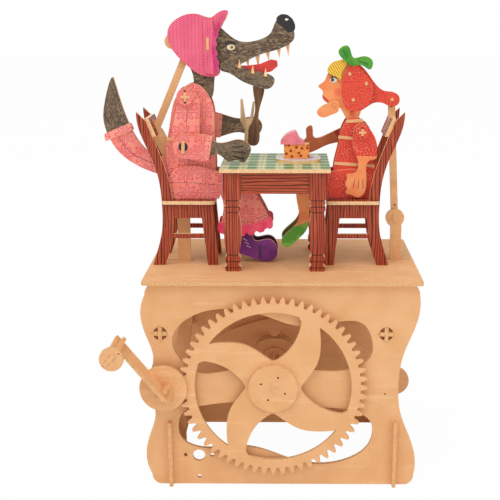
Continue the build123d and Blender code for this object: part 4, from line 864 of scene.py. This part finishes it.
class Stage(bpy.types.Operator):
    """Make the floor, the lamps and the camera"""
    bl_idname = "automaton.stage"
    bl_label = "Stage"

    def execute(self, context):
        settings = context.scene.automaton_stage
        mesh = bmesh.new()
        bmesh.ops.create_grid(mesh, x_segments=1, y_segments=1, size=8)
        data = bpy.data.meshes.new("floor")
        mesh.to_mesh(data)
        mesh.free()
        floor = bpy.data.objects.new("floor", data)
        context.scene.collection.objects.link(floor)
        paper, tree, surface, _ = start_material("Paper_floor")
        surface.inputs["Base Color"].default_value = settings.floor
        surface.inputs["Roughness"].default_value = 0.9
        glow = add(tree, "Emission", {0: (1, 1, 1, 1), 1: 1.0})
        seen = add(tree, "LightPath").outputs["Is Camera Ray"]
        amount = add(tree, "Math", {0: seen, 1: FLOOR_GLOW}, operation="MULTIPLY")
        mixed = add(tree, "MixShader", {0: amount, 1: surface.outputs[0], 2: glow})
        tree.links.new(mixed.outputs[0], tree.nodes["Material Output"].inputs["Surface"])
        data.materials.append(paper)

        world = bpy.data.worlds.new("Studio")
        context.scene.world = world
        world.use_nodes = True
        tree = world.node_tree
        paths = add(tree, "LightPath").outputs
        shown = add(tree, "Math", {0: paths["Is Glossy Ray"], 1: paths["Is Transmission Ray"]},
                    operation="MAXIMUM")
        shown = add(tree, "Math", {0: paths["Is Camera Ray"], 1: shown}, operation="MAXIMUM")
        strength = add(tree, "MapRange", {0: shown, 3: settings.daylight, 4: 1.0})
        back = tree.nodes["Background"]
        back.inputs[0].default_value = (1, 1, 1, 1)
        tree.links.new(strength.outputs[0], back.inputs[1])

        aim = Vector((0, 0.05, 0.18))
        for name, power, size, where in (
            ("key", settings.key, 1.4, Vector((-0.6, -0.7, 1.8))),
            ("fill", settings.fill, 1.6, Vector((1.2, -0.9, 0.8))),
        ):
            lamp = bpy.data.lights.new(name, "AREA")
            lamp.energy = power
            lamp.size = size
            made = bpy.data.objects.new(name, lamp)
            made.location = where
            made.rotation_euler = (aim - where).to_track_quat("-Z", "Y").to_euler()
            context.scene.collection.objects.link(made)

        lens = bpy.data.cameras.new("camera")
        lens.sensor_width = SENSOR
        lens.lens = LENS
        lens.shift_x = LENS_SHIFT
        lens.clip_start = 0.01
        made = bpy.data.objects.new("camera", lens)
        made.location = CAMERA
        made.rotation_euler = (radians(90 - PITCH), 0, radians(YAW))
        context.scene.collection.objects.link(made)
        context.scene.camera = made
        context.scene.view_settings.view_transform = "Standard"
        return {"FINISHED"}


class AutomatonPanel(bpy.types.Panel):
    """The toy's groups of pieces and their settings"""
    bl_idname = "VIEW3D_PT_automaton"
    bl_label = "Automaton"
    bl_space_type = "VIEW_3D"
    bl_region_type = "UI"
    bl_category = "Automaton"

    def draw(self, context):
        for operator, name in zip(OPERATORS, SETTINGS):
            box = self.layout.box()
            box.operator(operator.bl_idname)
            group = getattr(context.scene, name)
            for key in group.bl_rna.properties.keys():
                if key not in ("rna_type", "name"):
                    box.prop(group, key)


OPERATORS = (Stage, BareBoards, Furniture, Diner, Doll)
SETTINGS = {
    "automaton_stage": StageSettings,
    "automaton_boards": BoardSettings,
    "automaton_furniture": FurnitureSettings,
    "automaton_diner": DinerSettings,
    "automaton_doll": DollSettings,
}


def register():
    for name, group in SETTINGS.items():
        bpy.utils.register_class(group)
        setattr(bpy.types.Scene, name, PointerProperty(type=group))
    for item in (*OPERATORS, AutomatonPanel):
        bpy.utils.register_class(item)


def unregister():
    for item in reversed((*OPERATORS, AutomatonPanel)):
        bpy.utils.unregister_class(item)
    for name, group in reversed(list(SETTINGS.items())):
        delattr(bpy.types.Scene, name)
        bpy.utils.unregister_class(group)


def main():
    register()
    bpy.ops.automaton.stage()
    bpy.ops.automaton.bare_boards()
    bpy.ops.automaton.furniture()
    bpy.ops.automaton.diner()
    bpy.ops.automaton.doll()


if __name__ == "__main__":
    main()
